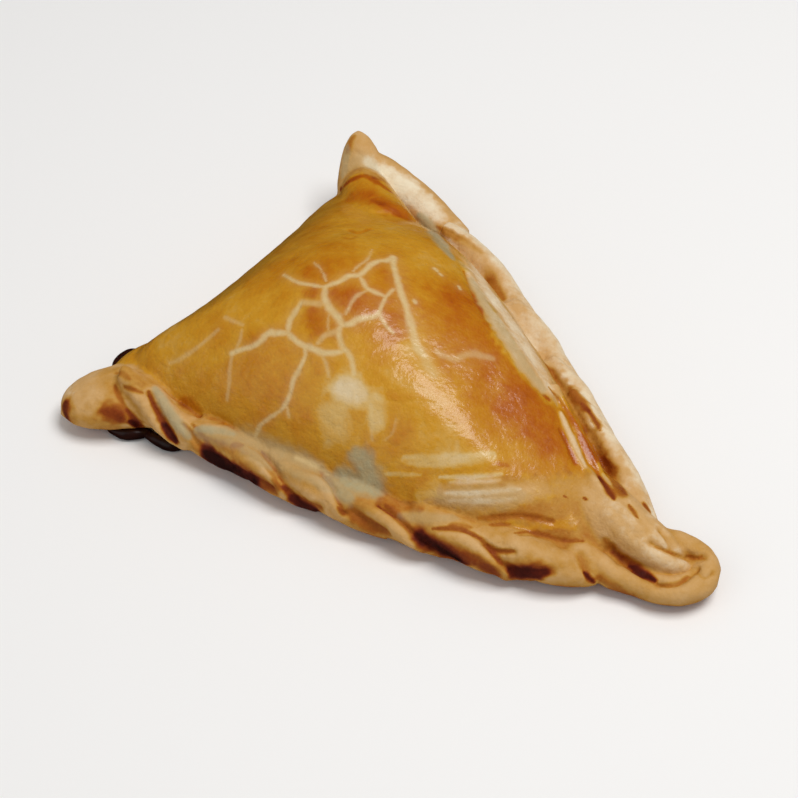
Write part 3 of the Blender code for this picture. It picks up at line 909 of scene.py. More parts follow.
CRACKS_AND_GLINTS = (
    # From the upper left through the first meeting point and along the top.
    Stroke(0.9, 1.1, ((284, 275), (297, 282), (311, 285), (324, 287))),
    Stroke(1.0, 1.4, ((324, 287), (331, 285), (341, 281), (349, 276), (360, 275), (371, 265), (379, 261))),
    Stroke(1.0, 1.4, ((379, 261), (388, 260), (393, 257))),
    Stroke(0.7, 0.7, ((326, 281), (323, 273), (319, 267), (314, 263))),
    Stroke(0.7, 0.7, ((353, 271), (361, 264), (368, 259), (372, 250))),
    # Down from there to the lower meeting points.
    Stroke(1.0, 1.7, ((325, 289), (325, 300), (331, 310), (339, 319), (342, 325))),
    Stroke(1.0, 1.4, ((342, 325), (350, 324), (357, 320), (373, 317), (379, 313))),
    Stroke(0.9, 1.0, ((379, 313), (381, 308), (386, 297), (393, 290))),
    Stroke(0.9, 1.1, ((386, 297), (377, 293), (368, 289), (364, 284), (360, 277))),
    Stroke(0.7, 0.8, ((368, 290), (358, 295), (351, 304), (346, 314))),
    Stroke(0.8, 1.1, ((379, 313), (383, 321), (388, 328), (393, 333))),
    Stroke(0.9, 1.4, ((341, 325), (339, 333), (342, 346), (348, 353), (352, 361), (354, 374))),
    Stroke(0.6, 1.4, ((338, 331), (326, 335), (318, 343))),
    Stroke(0.5, 0.8, ((329, 313), (328, 325), (329, 331))),
    Stroke(0.6, 0.8, ((323, 357), (327, 367), (329, 377))),
    # The long one down the right side and its branch.
    Stroke(1.0, 1.6, ((393, 258), (394, 267), (397, 279), (400, 290), (404, 301), (408, 314))),
    Stroke(0.9, 2.0, ((408, 314), (412, 326), (414, 337), (417, 347), (424, 356))),
    Stroke(0.5, 2.6, ((424, 356), (429, 365), (434, 375))),
    Stroke(0.5, 1.7, ((437, 352), (447, 357), (455, 359), (463, 356), (474, 354), (483, 356), (493, 359))),
    # The chain across the left side.
    Stroke(1.0, 1.4, ((232, 353), (241, 350), (254, 346), (262, 340), (268, 334), (278, 333), (288, 333))),
    Stroke(1.0, 1.4, ((288, 333), (296, 341), (305, 346), (314, 349), (325, 353), (340, 352), (345, 350))),
    Stroke(0.9, 1.3, ((288, 333), (290, 321), (295, 313), (301, 303))),
    Stroke(0.6, 1.8, ((302, 302), (311, 303), (321, 304), (326, 302))),
    Stroke(0.9, 1.1, ((305, 348), (305, 357), (299, 369), (293, 381), (291, 391), (286, 404), (280, 411))),
    Stroke(0.8, 1.0, ((280, 411), (268, 419), (259, 427), (256, 436))),
    Stroke(0.6, 0.8, ((287, 406), (289, 417))),
    Stroke(0.45, 1.0, ((225, 317), (236, 322), (243, 325))),
    Stroke(0.45, 1.0, ((242, 330), (240, 340), (236, 350))),
    Stroke(0.45, 1.0, ((232, 356), (230, 370), (229, 385), (227, 400))),
    Stroke(0.45, 1.1, ((218, 330), (204, 342), (190, 353), (178, 360), (170, 363))),
    # Flakes and hair lines, and four pale specks that are painted highlight glints.
    Stroke(0.45, 0.8, ((371, 405), (371, 420), (372, 440))),
    Stroke(0.3, 0.8, ((385, 440), (393, 432), (396, 420))),
    Stroke(0.3, 1.1, ((457, 442), (458, 455))),
    # Painted highlight: four small glints on the crown, in the pale colour of cracked wash.
    Stroke(1.0, 1.1, ((435, 269), (437, 271))),
    Stroke(1.0, 1.1, ((440, 274), (441, 275))),
    Stroke(1.0, 1.1, ((459, 287), (460, 289))),
    Stroke(1.0, 1.1, ((414, 301), (415, 302))),
    Stroke(0.6, 1.1, ROPE_CRACK),
)

# How far the crust is baked along these lines; many dark ones in crevices and pockets are painted shade and
# shadow, and two pale ones on the crown are painted highlight.
BAKED_AND_SHADING = (
    # The pillow's broad tones: paler on the upper left, browner on the crown, orange on the right.
    # Browner on the lower left of the pillow: partly painted shade, for the side turned from the light.
    Stroke(0.50, 14.0, ((215, 330), (240, 390), (270, 430)), 0.6),
    Stroke(0.53, 12.0, ((255, 285), (292, 250), (332, 215)), 0.8),
    Stroke(0.60, 11.0, ((330, 250), (350, 290), (330, 320)), 0.7),
    Stroke(0.62, 7.0, ((385, 275), (395, 305), (400, 330)), 0.6),
    Stroke(0.40, 7.0, ((385, 225), (410, 245), (430, 262)), 0.6),
    Stroke(0.67, 20.0, ((458, 300), (492, 345), (522, 400), (548, 440)), 0.9),
    # Paler down the crown's right slope: partly a thinner wash, partly painted highlight.
    Stroke(0.36, 7.0, ((400, 372), (420, 395), (440, 430)), 0.8),
    Stroke(0.30, 4.0, ((405, 345), (425, 365), (437, 380)), 0.6),
    Stroke(0.54, 6.0, ((250, 395), (262, 415), (250, 425)), 0.6),
    Stroke(0.40, 8.0, ((420, 440), (470, 445), (520, 450)), 0.5),
    Stroke(0.24, 4.2, ((420, 497), (460, 497), (500, 496), (530, 493)), 0.85),
    Stroke(0.32, 4.2, ((505, 495), (545, 489), (585, 482)), 0.6),
    Stroke(0.26, 2.6, ((404, 460), (440, 461), (494, 457)), 0.7),
    Stroke(0.18, 1.3, ((404, 457), (430, 458), (460, 457), (494, 453)), 0.75),
    Stroke(0.20, 1.3, ((410, 463), (432, 464), (462, 463), (494, 459)), 0.7),
    Stroke(0.12, 0.9, ((385, 474), (400, 474), (420, 475)), 0.6),
    Stroke(0.12, 1.0, ((440, 477), (470, 477), (502, 474)), 0.85),
    Stroke(0.12, 0.9, ((450, 482), (475, 482), (500, 480)), 0.7),
    Stroke(0.12, 1.2, ((445, 493), (480, 492), (520, 489)), 0.8),
    Stroke(0.12, 1.2, ((450, 501), (490, 501), (515, 499)), 0.7),
    Stroke(0.50, 0.9, ((450, 488), (480, 487), (505, 485)), 0.6),
    Stroke(0.52, 2.4, ((380, 500), (398, 506), (420, 510)), 0.8),
    Stroke(0.34, 2.4, ((400, 520), (430, 521), (455, 522)), 0.8),
    Stroke(0.52, 2.4, ((460, 468), (500, 466), (560, 464)), 0.5),
    # The pale patches below the cracks.
    Stroke(0.06, 5.4, ((340, 385), (350, 391), (362, 396)), 0.95),
    Stroke(0.16, 3.4, ((376, 397), (377, 412), (377, 428)), 0.8),
    Stroke(0.26, 5.0, ((324, 410), (334, 422), (330, 440)), 0.8),
    Stroke(0.56, 4.5, ((298, 408), (300, 420), (300, 434)), 0.6),
    # Browner cells between the cracks.
    Stroke(0.68, 4.8, ((336, 291), (344, 296), (354, 300)), 0.95),
    Stroke(0.64, 2.8, ((308, 292), (315, 294)), 0.9),
    Stroke(0.66, 3.8, ((312, 310), (316, 320), (318, 330)), 0.95),
    Stroke(0.63, 4.4, ((358, 302), (370, 307), (380, 303)), 0.9),
    Stroke(0.60, 5.0, ((312, 272), (328, 266), (342, 263)), 0.8),
    Stroke(0.60, 4.0, ((394, 300), (398, 318), (400, 332)), 0.7),
    # The horn, its brown crown band, and the border of the egg wash along the rim.
    Stroke(0.36, 4.4, ((350, 148), (358, 145), (367, 152)), 0.7),
    Stroke(0.56, 1.8, ((347, 152), (350, 143), (354, 136)), 0.9),
    Stroke(0.54, 6.0, ((346, 204), (358, 192), (372, 194), (398, 212)), 1.0),
    Stroke(0.67, 4.2, ((350, 198), (370, 197), (390, 206), (408, 218)), 0.85),
    Stroke(0.74, 1.6, ((372, 200), (386, 206), (400, 216)), 0.8),
    Stroke(0.73, 1.6, ((341, 189), (351, 180), (364, 176), (377, 182), (391, 192)), 0.95),
    Stroke(0.62, 1.0, HORN_WRINKLE, 0.9),
    Stroke(0.60, 0.9, ((343, 237), (350, 239), (358, 236)), 0.8),
    # The rim's pale band and its orange patches.
    Stroke(0.10, 5.0, ((368, 162), (380, 172), (400, 186), (425, 205)), 1.0),
    Stroke(0.00, 5.0, ((385, 172), (405, 188), (425, 203), (438, 216)), 1.0),
    Stroke(0.20, 5.0, ((498, 284), (520, 312), (542, 340)), 0.8),
    Stroke(0.30, 2.2, ((347, 160), (345, 170), (343, 180)), 0.7),
    Stroke(0.56, 1.6, ((437, 227), (447, 232), (460, 240), (475, 249), (481, 253)), 0.9),
    # The ribbons, pale on their crests and dark beside them, partly burnt and partly painted shadow, and an
    # orange patch behind the first.
    Stroke(0.12, 10.0, FIRST_RIBBON, 1.0),
    Stroke(0.64, 4.6, ((470, 305), (490, 338), (510, 370), (534, 402)), 0.6),
    Stroke(0.16, 6.0, ((480, 270), (497, 293), (515, 318), (532, 343), (550, 369)), 1.0),
    # Painted shadow along the first ribbon's foot, over a burnt line.
    Stroke(0.76, 1.2, FIRST_FOOT, 0.85),
    Stroke(0.56, 2.4, ((487, 268), (491, 280), (497, 290), (503, 299)), 0.9),
    Stroke(0.24, 4.0, ((462, 244), (476, 255), (488, 268)), 0.7),
    Stroke(0.20, 2.4, ((468, 272), (476, 287), (487, 306), (500, 324)), 1.0),
    Stroke(0.20, 4.0, ((490, 312), (504, 334), (522, 361), (542, 388)), 1.0),
    # Painted shade beside the second ribbon, over burnt edges.
    Stroke(0.72, 1.4, ((559, 430), (566, 443), (575, 463)), 0.85),
    Stroke(0.14, 1.6, SECOND_RIBBON, 1.0),
    Stroke(0.22, 2.4, ((595, 488), (612, 502), (640, 532)), 0.8),
    Stroke(0.44, 2.0, ((539, 356), (552, 374), (565, 392), (576, 411), (584, 432)), 0.95),
    Stroke(0.52, 1.2, ((540, 358), (553, 374), (565, 390)), 0.9),
    Stroke(0.44, 2.4, ((566, 388), (577, 405), (585, 424)), 0.8),
    Stroke(0.66, 0.9, SECOND_BACK, 0.8),
    Stroke(0.62, 2.0, ((570, 388), (580, 400), (589, 411)), 0.9),
    Stroke(0.72, 1.1, ((582, 404), (591, 414), (600, 430)), 0.9),
    Stroke(0.60, 4.4, ((585, 432), (598, 456), (612, 478), (622, 494)), 0.95),
    Stroke(0.40, 1.6, ((590, 434), (597, 444), (603, 452)), 0.7),
    Stroke(0.76, 1.8, ((582, 436), (590, 449), (598, 460)), 0.9),
    Stroke(0.68, 1.8, ((604, 459), (613, 472), (619, 483), (625, 494)), 0.85),
    Stroke(0.80, 1.6, ((600, 478), (606, 487), (613, 498)), 0.9),
    Stroke(0.22, 4.0, ((624, 474), (634, 492), (644, 506)), 0.8),
    Stroke(0.20, 1.3, ((603, 474), (607, 479), (610, 484)), 0.9),
    Stroke(0.70, 1.0, ((629, 505), (637, 517)), 0.9),
    Stroke(0.70, 1.0, ((643, 503), (650, 512)), 0.9),
    # Brown lines and specks above the front rope.
    Stroke(0.60, 1.4, ((478, 518), (500, 517), (515, 515), (540, 519), (553, 521)), 0.85),
    Stroke(0.62, 0.9, ((490, 525), (510, 524)), 0.8),
    Stroke(0.62, 0.9, ((515, 533), (530, 532), (545, 535), (560, 540), (583, 541)), 0.9),
    Stroke(0.64, 1.6, ((450, 525), (470, 527)), 0.7),
    Stroke(0.75, 0.9, ((564, 496), (566, 497)), 0.9),
    Stroke(0.75, 0.9, ((584, 498), (586, 499)), 0.9),
    Stroke(0.66, 0.9, ((498, 464), (508, 466)), 0.8),
    # The tab: darker below, partly baked brown and partly painted shade, burnt at its tip and where it meets
    # the first strand.
    Stroke(0.50, 3.6, ((74, 420), (95, 424), (118, 428)), 0.7),
    Stroke(0.60, 3.4, ((66, 402), (66, 411), (69, 421)), 0.8),
    Stroke(0.84, 2.2, ((65, 403), (65, 411), (68, 421)), 0.9),
    Stroke(0.55, 5.0, ((103, 411), (113, 412), (122, 417)), 0.8),
    Stroke(0.74, 3.4, ((104, 412), (113, 413), (122, 418)), 0.95),
    Stroke(0.40, 3.4, ((106, 370), (110, 384), (114, 394)), 0.7),
    Stroke(0.46, 3.6, ((116, 370), (128, 372), (142, 384)), 0.7),
    Stroke(0.62, 1.2, ((115, 386), (122, 402), (129, 412)), 0.8),
    Stroke(0.78, 1.6, ((127, 410), (135, 420), (146, 432)), 0.9),
    Stroke(0.95, 1.4, ((130, 421), (138, 428), (147, 435)), 0.95),
    Stroke(0.62, 1.0, TAB_WRINKLE, 0.8),
    Stroke(0.58, 1.0, ((116, 373), (122, 374), (130, 379)), 0.7),
    # The strands' crevices and pockets, from the left corner to the right: dark with burnt sugar and with
    # painted shade and shadow under each strand.
    Stroke(0.70, 1.2, ((149, 392), (155, 408), (164, 425)), 0.9),
    Stroke(0.92, 1.5, ((163, 425), (170, 435), (176, 442)), 0.95),
    Stroke(0.62, 1.1, ((184, 424), (192, 433), (204, 448)), 0.8),
    Stroke(0.62, 1.0, ((192, 424), (202, 434), (212, 448)), 0.8),
    Stroke(0.48, 2.2, ((188, 432), (197, 446), (206, 460)), 0.8),
    Stroke(0.70, 2.8, ((183, 402), (192, 406), (198, 410)), 0.8),
    Stroke(0.70, 4.6, ((206, 451), (226, 464), (250, 476), (274, 489)), 0.85),
    Stroke(0.97, 3.8, ((206, 453), (222, 464), (238, 474), (254, 481)), 0.97),
    Stroke(0.62, 1.0, ((208, 438), (225, 444), (243, 450), (262, 462)), 0.7),
    Stroke(0.62, 0.9, ((262, 462), (272, 474), (280, 486)), 0.8),
    Stroke(0.38, 4.6, ((222, 434), (250, 446), (285, 460), (318, 474)), 0.9),
    Stroke(0.42, 2.4, ((285, 472), (303, 480), (318, 492)), 0.7),
    Stroke(0.50, 2.6, ((212, 440), (232, 448), (246, 455)), 0.6),
    Stroke(0.64, 1.2, ((232, 445), (242, 445)), 0.8),
    Stroke(0.64, 1.2, ((262, 452), (269, 462), (275, 470)), 0.9),
    Stroke(0.64, 1.2, ((272, 480), (280, 489)), 0.8),
    Stroke(0.86, 1.4, ((283, 487), (291, 494), (299, 501)), 0.9),
    Stroke(0.62, 3.2, ((294, 494), (304, 500), (320, 506)), 0.8),
    Stroke(0.95, 2.4, ((292, 498), (303, 506), (320, 512)), 0.95),
    Stroke(0.58, 1.1, ((321, 472), (332, 486), (337, 500)), 0.8),
    Stroke(0.66, 1.1, ((338, 508), (344, 514)), 0.9),
    Stroke(0.44, 3.6, ((340, 490), (356, 500), (370, 508)), 0.7),
    Stroke(0.56, 3.0, ((350, 512), (366, 521), (388, 531)), 0.8),
    Stroke(0.60, 2.2, ((353, 516), (366, 522), (382, 530)), 0.5),
    Stroke(0.60, 1.8, ((386, 506), (398, 515), (409, 528), (420, 539)), 0.9),
    Stroke(0.70, 4.2, ((416, 531), (434, 543), (455, 553), (470, 560)), 0.85),
    Stroke(0.98, 3.6, ((420, 537), (436, 547), (450, 555), (466, 562)), 0.97),
    Stroke(0.72, 3.4, ((462, 555), (480, 564), (496, 574)), 0.85),
    Stroke(0.68, 1.0, ((433, 529), (450, 528), (465, 531), (478, 537), (487, 545)), 0.85),
    Stroke(0.72, 1.0, ((494, 550), (505, 551), (514, 551)), 0.8),
    Stroke(0.74, 1.1, ((488, 545), (495, 556), (502, 564)), 0.9),
    Stroke(0.66, 4.0, ((508, 566), (527, 571), (546, 570)), 0.85),
    Stroke(0.90, 2.8, ((510, 570), (527, 574), (546, 572)), 0.95),
    # The curl and the tongue, with painted shade on the curl's lower flank and painted shadow under the
    # tongue.
    Stroke(0.42, 1.6, ((580, 552), (584, 562), (588, 572)), 0.7),
    Stroke(0.86, 1.2, ((584, 573), (589, 578), (594, 582)), 0.9),
    # Painted shade on the curl's lower flank.
    Stroke(0.60, 2.4, ((600, 578), (622, 592), (640, 600)), 0.8),
    Stroke(0.30, 5.0, ((645, 575), (670, 592), (700, 585)), 0.5),
    Stroke(0.60, 2.0, ((606, 540), (613, 550)), 0.8),
    # Painted shadow under the tongue.
    Stroke(0.70, 2.0, ((614, 552), (628, 562), (642, 572), (655, 580)), 0.9),
    Stroke(0.92, 1.3, ((630, 566), (643, 574), (655, 580)), 0.95),
    Stroke(0.36, 3.0, ((668, 541), (690, 544), (710, 550)), 0.7),
    Stroke(0.62, 0.9, ((655, 547), (668, 552), (681, 556)), 0.7),
    Stroke(0.62, 1.1, ((658, 585), (675, 585), (688, 577)), 0.8),
    Stroke(0.62, 0.9, ((688, 556), (697, 558), (702, 556)), 0.8),
)

FLOURED = (
    Stroke(0.85, 2.2, ((155, 388), (164, 403), (176, 422), (188, 436))),
    Stroke(0.85, 1.8, ((197, 429), (215, 430), (233, 434))),
    Stroke(0.45, 2.6, ((197, 433), (215, 437), (235, 443), (250, 450))),
    Stroke(0.55, 4.2, ((225, 430), (250, 441), (290, 456), (320, 468))),
    Stroke(1.00, 4.8, STRAND_CREST),
    Stroke(1.00, 4.4, ((340, 474), (352, 482), (368, 488))),
    Stroke(0.80, 3.4, ((328, 478), (340, 490), (350, 498))),
    Stroke(0.40, 3.4, ((262, 452), (285, 463), (312, 470))),
    Stroke(0.35, 2.4, ((400, 516), (430, 518), (455, 518))),
    Stroke(0.30, 4.0, ((440, 498), (480, 497), (520, 494))),
    Stroke(0.9, 2.8, ((419, 216), (430, 228), (441, 243), (452, 258))),
    Stroke(0.5, 3.0, ((472, 280), (488, 308), (506, 336), (524, 364), (542, 388))),
    Stroke(0.50, 2.4, ((230, 440), (255, 455), (270, 468))),
    Stroke(0.45, 2.4, ((290, 470), (312, 478), (328, 490))),
    Stroke(0.55, 2.0, ((347, 146), (346, 158), (343, 176))),
    Stroke(0.35, 4.0, ((350, 166), (361, 161), (373, 167))),
)

# Where the brush went past the pillow, up to the foot of the horn.
WASHED = (
    Stroke(1.0, 5.0, ((345, 204), (355, 195), (364, 190), (374, 193))),
    Stroke(1.0, 5.0, ((366, 193), (380, 201), (396, 213), (412, 223))),
    Stroke(1.0, 5.0, ((345, 208), (370, 206), (400, 220))),
)

# Where the brush missed the pillow.
UNWASHED = (
    Stroke(1.0, 5.6, ((334, 186), (349, 172), (365, 168), (382, 176), (398, 189))),
    Stroke(1.0, 10.0, FIRST_RIBBON),
    Stroke(1.0, 9.0, ((484, 262), (504, 290), (529, 325), (551, 358), (566, 385))),
    Stroke(1.0, 2.6, ((468, 274), (484, 303), (506, 338), (528, 370), (545, 392))),
    Stroke(1.0, 1.6, SECOND_RIBBON),
    Stroke(1.0, 4.0, ((612, 500), (625, 515), (640, 530))),
    Stroke(0.8, 5.5, ((585, 520), (595, 535), (592, 548))),
    Stroke(0.9, 3.5, ((225, 432), (250, 443), (290, 458), (320, 470))),
    Stroke(1.0, 5.4, STRAND_CREST),
    Stroke(0.7, 6.5, ((430, 505), (470, 508), (520, 508), (560, 512))),
    Stroke(0.8, 5.5, ((445, 493), (480, 492), (520, 488))),
    Stroke(0.6, 6.0, ((500, 491), (545, 487), (585, 482))),
    Stroke(1.0, 4.5, ((470, 528), (500, 533), (540, 540), (590, 545))),
    Stroke(0.7, 8.0, ((560, 500), (580, 500), (590, 520))),
    Stroke(0.9, 2.4, ((424, 214), (445, 228), (465, 250))),
    Stroke(0.9, 2.0, ((420, 217), (445, 243), (465, 262))),
    Stroke(0.6, 3.0, ((400, 505), (440, 515), (480, 523))),
)

SYRUPED = (
    Stroke(1.0, 5.0, ((586, 436), (600, 460), (616, 488))),
    Stroke(0.7, 1.8, ((128, 418), (137, 426), (147, 434))),
)


def along(line: Sequence[Sequence[float]], step: float, span_steps: int = 8) -> np.ndarray:
    """Points along a line at even distances of about that step, as a smooth curve through its points."""
    knots = np.array(line, float)
    if len(knots) > 2:
        padded = np.vstack([2 * knots[0] - knots[1], knots, 2 * knots[-1] - knots[-2]])
        t = np.linspace(0, 1, span_steps, endpoint=False)[:, None]
        spans = []
        for a, b, c, d in zip(padded, padded[1:], padded[2:], padded[3:]):
            spans.append(b + 0.5 * t * (c - a + t * (2 * a - 5 * b + 4 * c - d + t * (3 * (b - c) + d - a))))
        knots = np.vstack([*spans, knots[-1:]])
    length = np.linalg.norm(np.diff(knots, axis=0), axis=1).sum()
    return resampled(knots, max(2, int(length / step) + 1))


def resampled(knots: np.ndarray, count: int) -> np.ndarray:
    """The same line with that many evenly spaced points."""
    length = np.concatenate([[0], np.cumsum(np.linalg.norm(np.diff(knots, axis=0), axis=1))])
    wanted = np.linspace(0, length[-1], count)
    return np.column_stack([np.interp(wanted, length, column) for column in knots.T])


def surface_of(mesh: bpy.types.Mesh) -> BVHTree:
    """The mesh's faces, for rays."""
    corners = [v.co.copy() for v in mesh.vertices]
    return BVHTree.FromPolygons(corners, [tuple(p.vertices) for p in mesh.polygons])


@dataclass(frozen=True)
class Brush:
    """How strokes are laid: how much wider than drawn, how much narrower at their ends, how soft."""

    spread: float = 1.0
    taper: float = 0.6
    least_softness: float = 0.25


COVERING = Brush()
BAKING = Brush(1.0, 0.6, 0.33)
CRACKING = Brush(0.8, 0.25, 0.42)
HALO = Brush(2.2, 0.25, 0.42)


@dataclass
class Skin:
    """The crust's fine mesh with what is needed to work on it by pixels of the photo."""

    mesh: bpy.types.Mesh
    camera: PhotoCamera
    pixel_step: float = 2.0
    search_widths: float = 1.5
    first_share: float = 0.02
    half_cover: float = 0.55
    softness: float = 0.45
    soft_width: float = 8.0
    raggedness: float = 0.3
    fold_raggedness: float = 0.15
    groove_power: float = 1.4
    edge_lumps: tuple[Lumps, ...] = (Lumps(1.0, 1.3, 31.0), Lumps(1.0, 3.5, 37.0))

    def __post_init__(self) -> None:
        """Keeps the points, their normals, the surface for rays, and how ragged an edge is where."""
        self.points = vertex_points(self.mesh)
        self.normals = vertex_normals(self.mesh)
        self.surface = surface_of(self.mesh)
        self.ragged = sum(lumps.at(self.points) for lumps in self.edge_lumps)

    def near(
        self, pixels: Sequence[Pixel], width: float, ragged: float, taper: float = 0.0
    ) -> tuple[np.ndarray, np.ndarray]:
        """Finds the points near a line.

        Args:
            pixels: The line, as the photo shows it.
            width: How far from its middle the line reaches, in millimetres.
            ragged: How much noise bends its edge.
            taper: How much narrower it is at its two ends, as a share.

        Returns:
            The points' numbers, and for each its distance from the line as a share of the width.
        """
        pinned = (self.camera.pinned(self.surface, tuple(p)) for p in along(pixels, self.pixel_step))
        places = [p for p in pinned if p is not None]
        if not places:
            LOG.info("no crust under the line that starts at %s", pixels[0])
            return np.zeros(0, int), np.zeros(0)
        margin = self.search_widths * width
        low, high = np.min(places, axis=0) - margin, np.max(places, axis=0) + margin
        near = np.flatnonzero(((self.points > low) & (self.points < high)).all(1))
        cloud = self.points[near]
        full = np.sin(np.linspace(self.first_share, 1 - self.first_share, len(places)) * math.pi) ** 0.5
        reaches = width * (1 - taper + taper * full)
        spans = [((cloud - place) ** 2).sum(1) / reach**2 for place, reach in zip(places, reaches)]
        gap = np.sqrt(np.min(spans, axis=0)) * (1 + ragged * self.ragged[near])
        inside = gap < 1
        return near[inside], gap[inside]

    def laid(self, stroke: Stroke, brush: Brush) -> tuple[np.ndarray, np.ndarray]:
        """The points under a stroke, and how much it covers each: the wider it is, the softer its edge."""
        width, least = stroke.width * brush.spread, brush.least_softness
        near, gap = self.near(stroke.pixels, width, self.raggedness, brush.taper)
        soft = least + (self.softness - least) * min(1.0, width / self.soft_width)
        share = np.clip((self.half_cover + soft - gap) / (2 * soft), 0, 1)
        return near, share * share * (3 - 2 * share)

    def folded(self) -> np.ndarray:
        """How far each point moves along its normal for the ridges and the sharper grooves."""
        moved = np.zeros(len(self.points))
        for fold in FOLDS:
            near, gap = self.near(fold.pixels, fold.width, self.fold_raggedness)
            ridge, groove = np.cos(gap * math.pi / 2) ** 2, (1 - gap) ** self.groove_power
            profile = ridge if fold.height > 0 else groove
            moved[near] += fold.height * profile
        return moved

    def blended(self, rounds: int) -> np.ndarray:
        """The points after the creases along the blends are smoothed away."""
        soft = neighbour_mean(self.mesh, self.points, rounds)
        share = np.zeros(len(self.points))
        for blend in BLENDS:
            near, gap = self.near(blend.pixels, blend.width, 0.0)
            share[near] = np.maximum(share[near], blend.height * (1 - gap**2) ** 2)
        return self.points + (soft - self.points) * share[:, None]

    def covered(self, strokes: Iterable[Stroke], brush: Brush = COVERING) -> np.ndarray:
        """How much strokes of one kind cover each point, from 0 to the strongest one's level."""
        amount = np.zeros(len(self.points))
        for stroke in strokes:
            near, share = self.laid(stroke, brush)
            amount[near] = np.maximum(amount[near], stroke.level * share)
        return amount

    def painted(self, levels: np.ndarray, strokes: Iterable[Stroke]) -> np.ndarray:
        """The levels after each stroke has pulled those under it to its own, one after the other."""
        levels = levels.copy()
        for stroke in strokes:
            near, share = self.laid(stroke, BAKING)
            levels[near] += (stroke.level - levels[near]) * stroke.cover * share
        return levels


# --------------------------------------------------------------------------- the crust


FRONT_ROPE = Rope(
    "front_rope",
    SeamLine(Pillow.front_seam, outside=1.0, lift=5.0, lift_reach=11.0),
    (
        (-0.5, 19.0, 3.2),
        (7.0, 21.0, 2.9),
        (19.0, 29.5, 3.5),
        (35.5, 28.0, 3.4),
        (50.0, 28.0, 3.2),
        (66.5, 26.0, 3.9),
        (80.5, 23.0, 3.9),
    ),
    seed=1.0,
)
BACK_ROPE = Rope(
    "back_rope",
    SeamLine(Pillow.back_seam, outside=-1.0, lift=8.5, lift_reach=26.0),
    ((24.5, 27.0, 3.5), (49.5, 20.0, 3.1), (67.0, 19.0, 2.8), (77.0, 34.0, 2.9)),
    seed=2.0,
)

ENDS = (
    DoughEnd(
        "tab", Zone.TAB, ((-43.0, 12.5, 4.5, 6.8), (-57.0, 7.6, 5.6, 7.5), (-67.1, 1.3, 3.9, 4.4)), 0.68, 12
    ),
    DoughEnd(
        "shoulder", Zone.PILLOW, ((-50.0, 23.0, 5.0, 4.4), (-55.5, 16.5, 5.4, 4.4), (-58.5, 12.0, 5.0, 4.2))
    ),
    DoughEnd(
        "nape",
        Zone.PILLOW,
        ((-18.0, 60.0, 14.0, 8.0), (-24.0, 69.5, 13.6, 6.2), (-28.4, 78.0, 14.4, 4.2)),
        0.9,
    ),
    DoughEnd(
        "horn", Zone.HORN, ((-23.5, 68.5, 6.0, 7.4), (-28.2, 77.8, 13.4, 5.4), (-31.2, 84.5, 19.8, 2.7)), 0.8
    ),
    DoughEnd("wing", Zone.HORN, ((-4.0, 70.6, 6.6, 3.4), (-17.5, 77.2, 10.4, 4.5), (-29.3, 82.2, 16.6, 2.4))),
    DoughEnd("tongue", Zone.TONGUE, ((36.0, 11.5, 4.0, 7.4), (49.5, 3.4, 5.4, 5.6), (61.4, -0.9, 4.0, 3.0))),
    DoughEnd(
        "bed", Zone.TONGUE, ((46.0, -1.5, 2.6, 4.2), (54.0, -2.6, 2.4, 4.0), (61.0, -1.6, 2.6, 3.0)), 0.7
    ),
)


@dataclass(frozen=True)
class Baking:
    """How far a zone is baked, from 0 for pale to 1 for burnt, and how much more in its creases."""

    level: float
    creases: float


# Each zone's creases darken by their share: partly baked sugar, partly painted shade.
BAKINGS = {
    Zone.PILLOW: Baking(0.46, 0.2),
    Zone.FRONT_ROPE: Baking(0.36, 0.9),
    Zone.BACK_ROPE: Baking(0.07, 0.0),
    Zone.HORN: Baking(0.29, 0.1),
    Zone.TAB: Baking(0.24, 0.6),
    Zone.TONGUE: Baking(0.25, 0.6),
    Zone.CURL: Baking(0.34, 0.6),
}


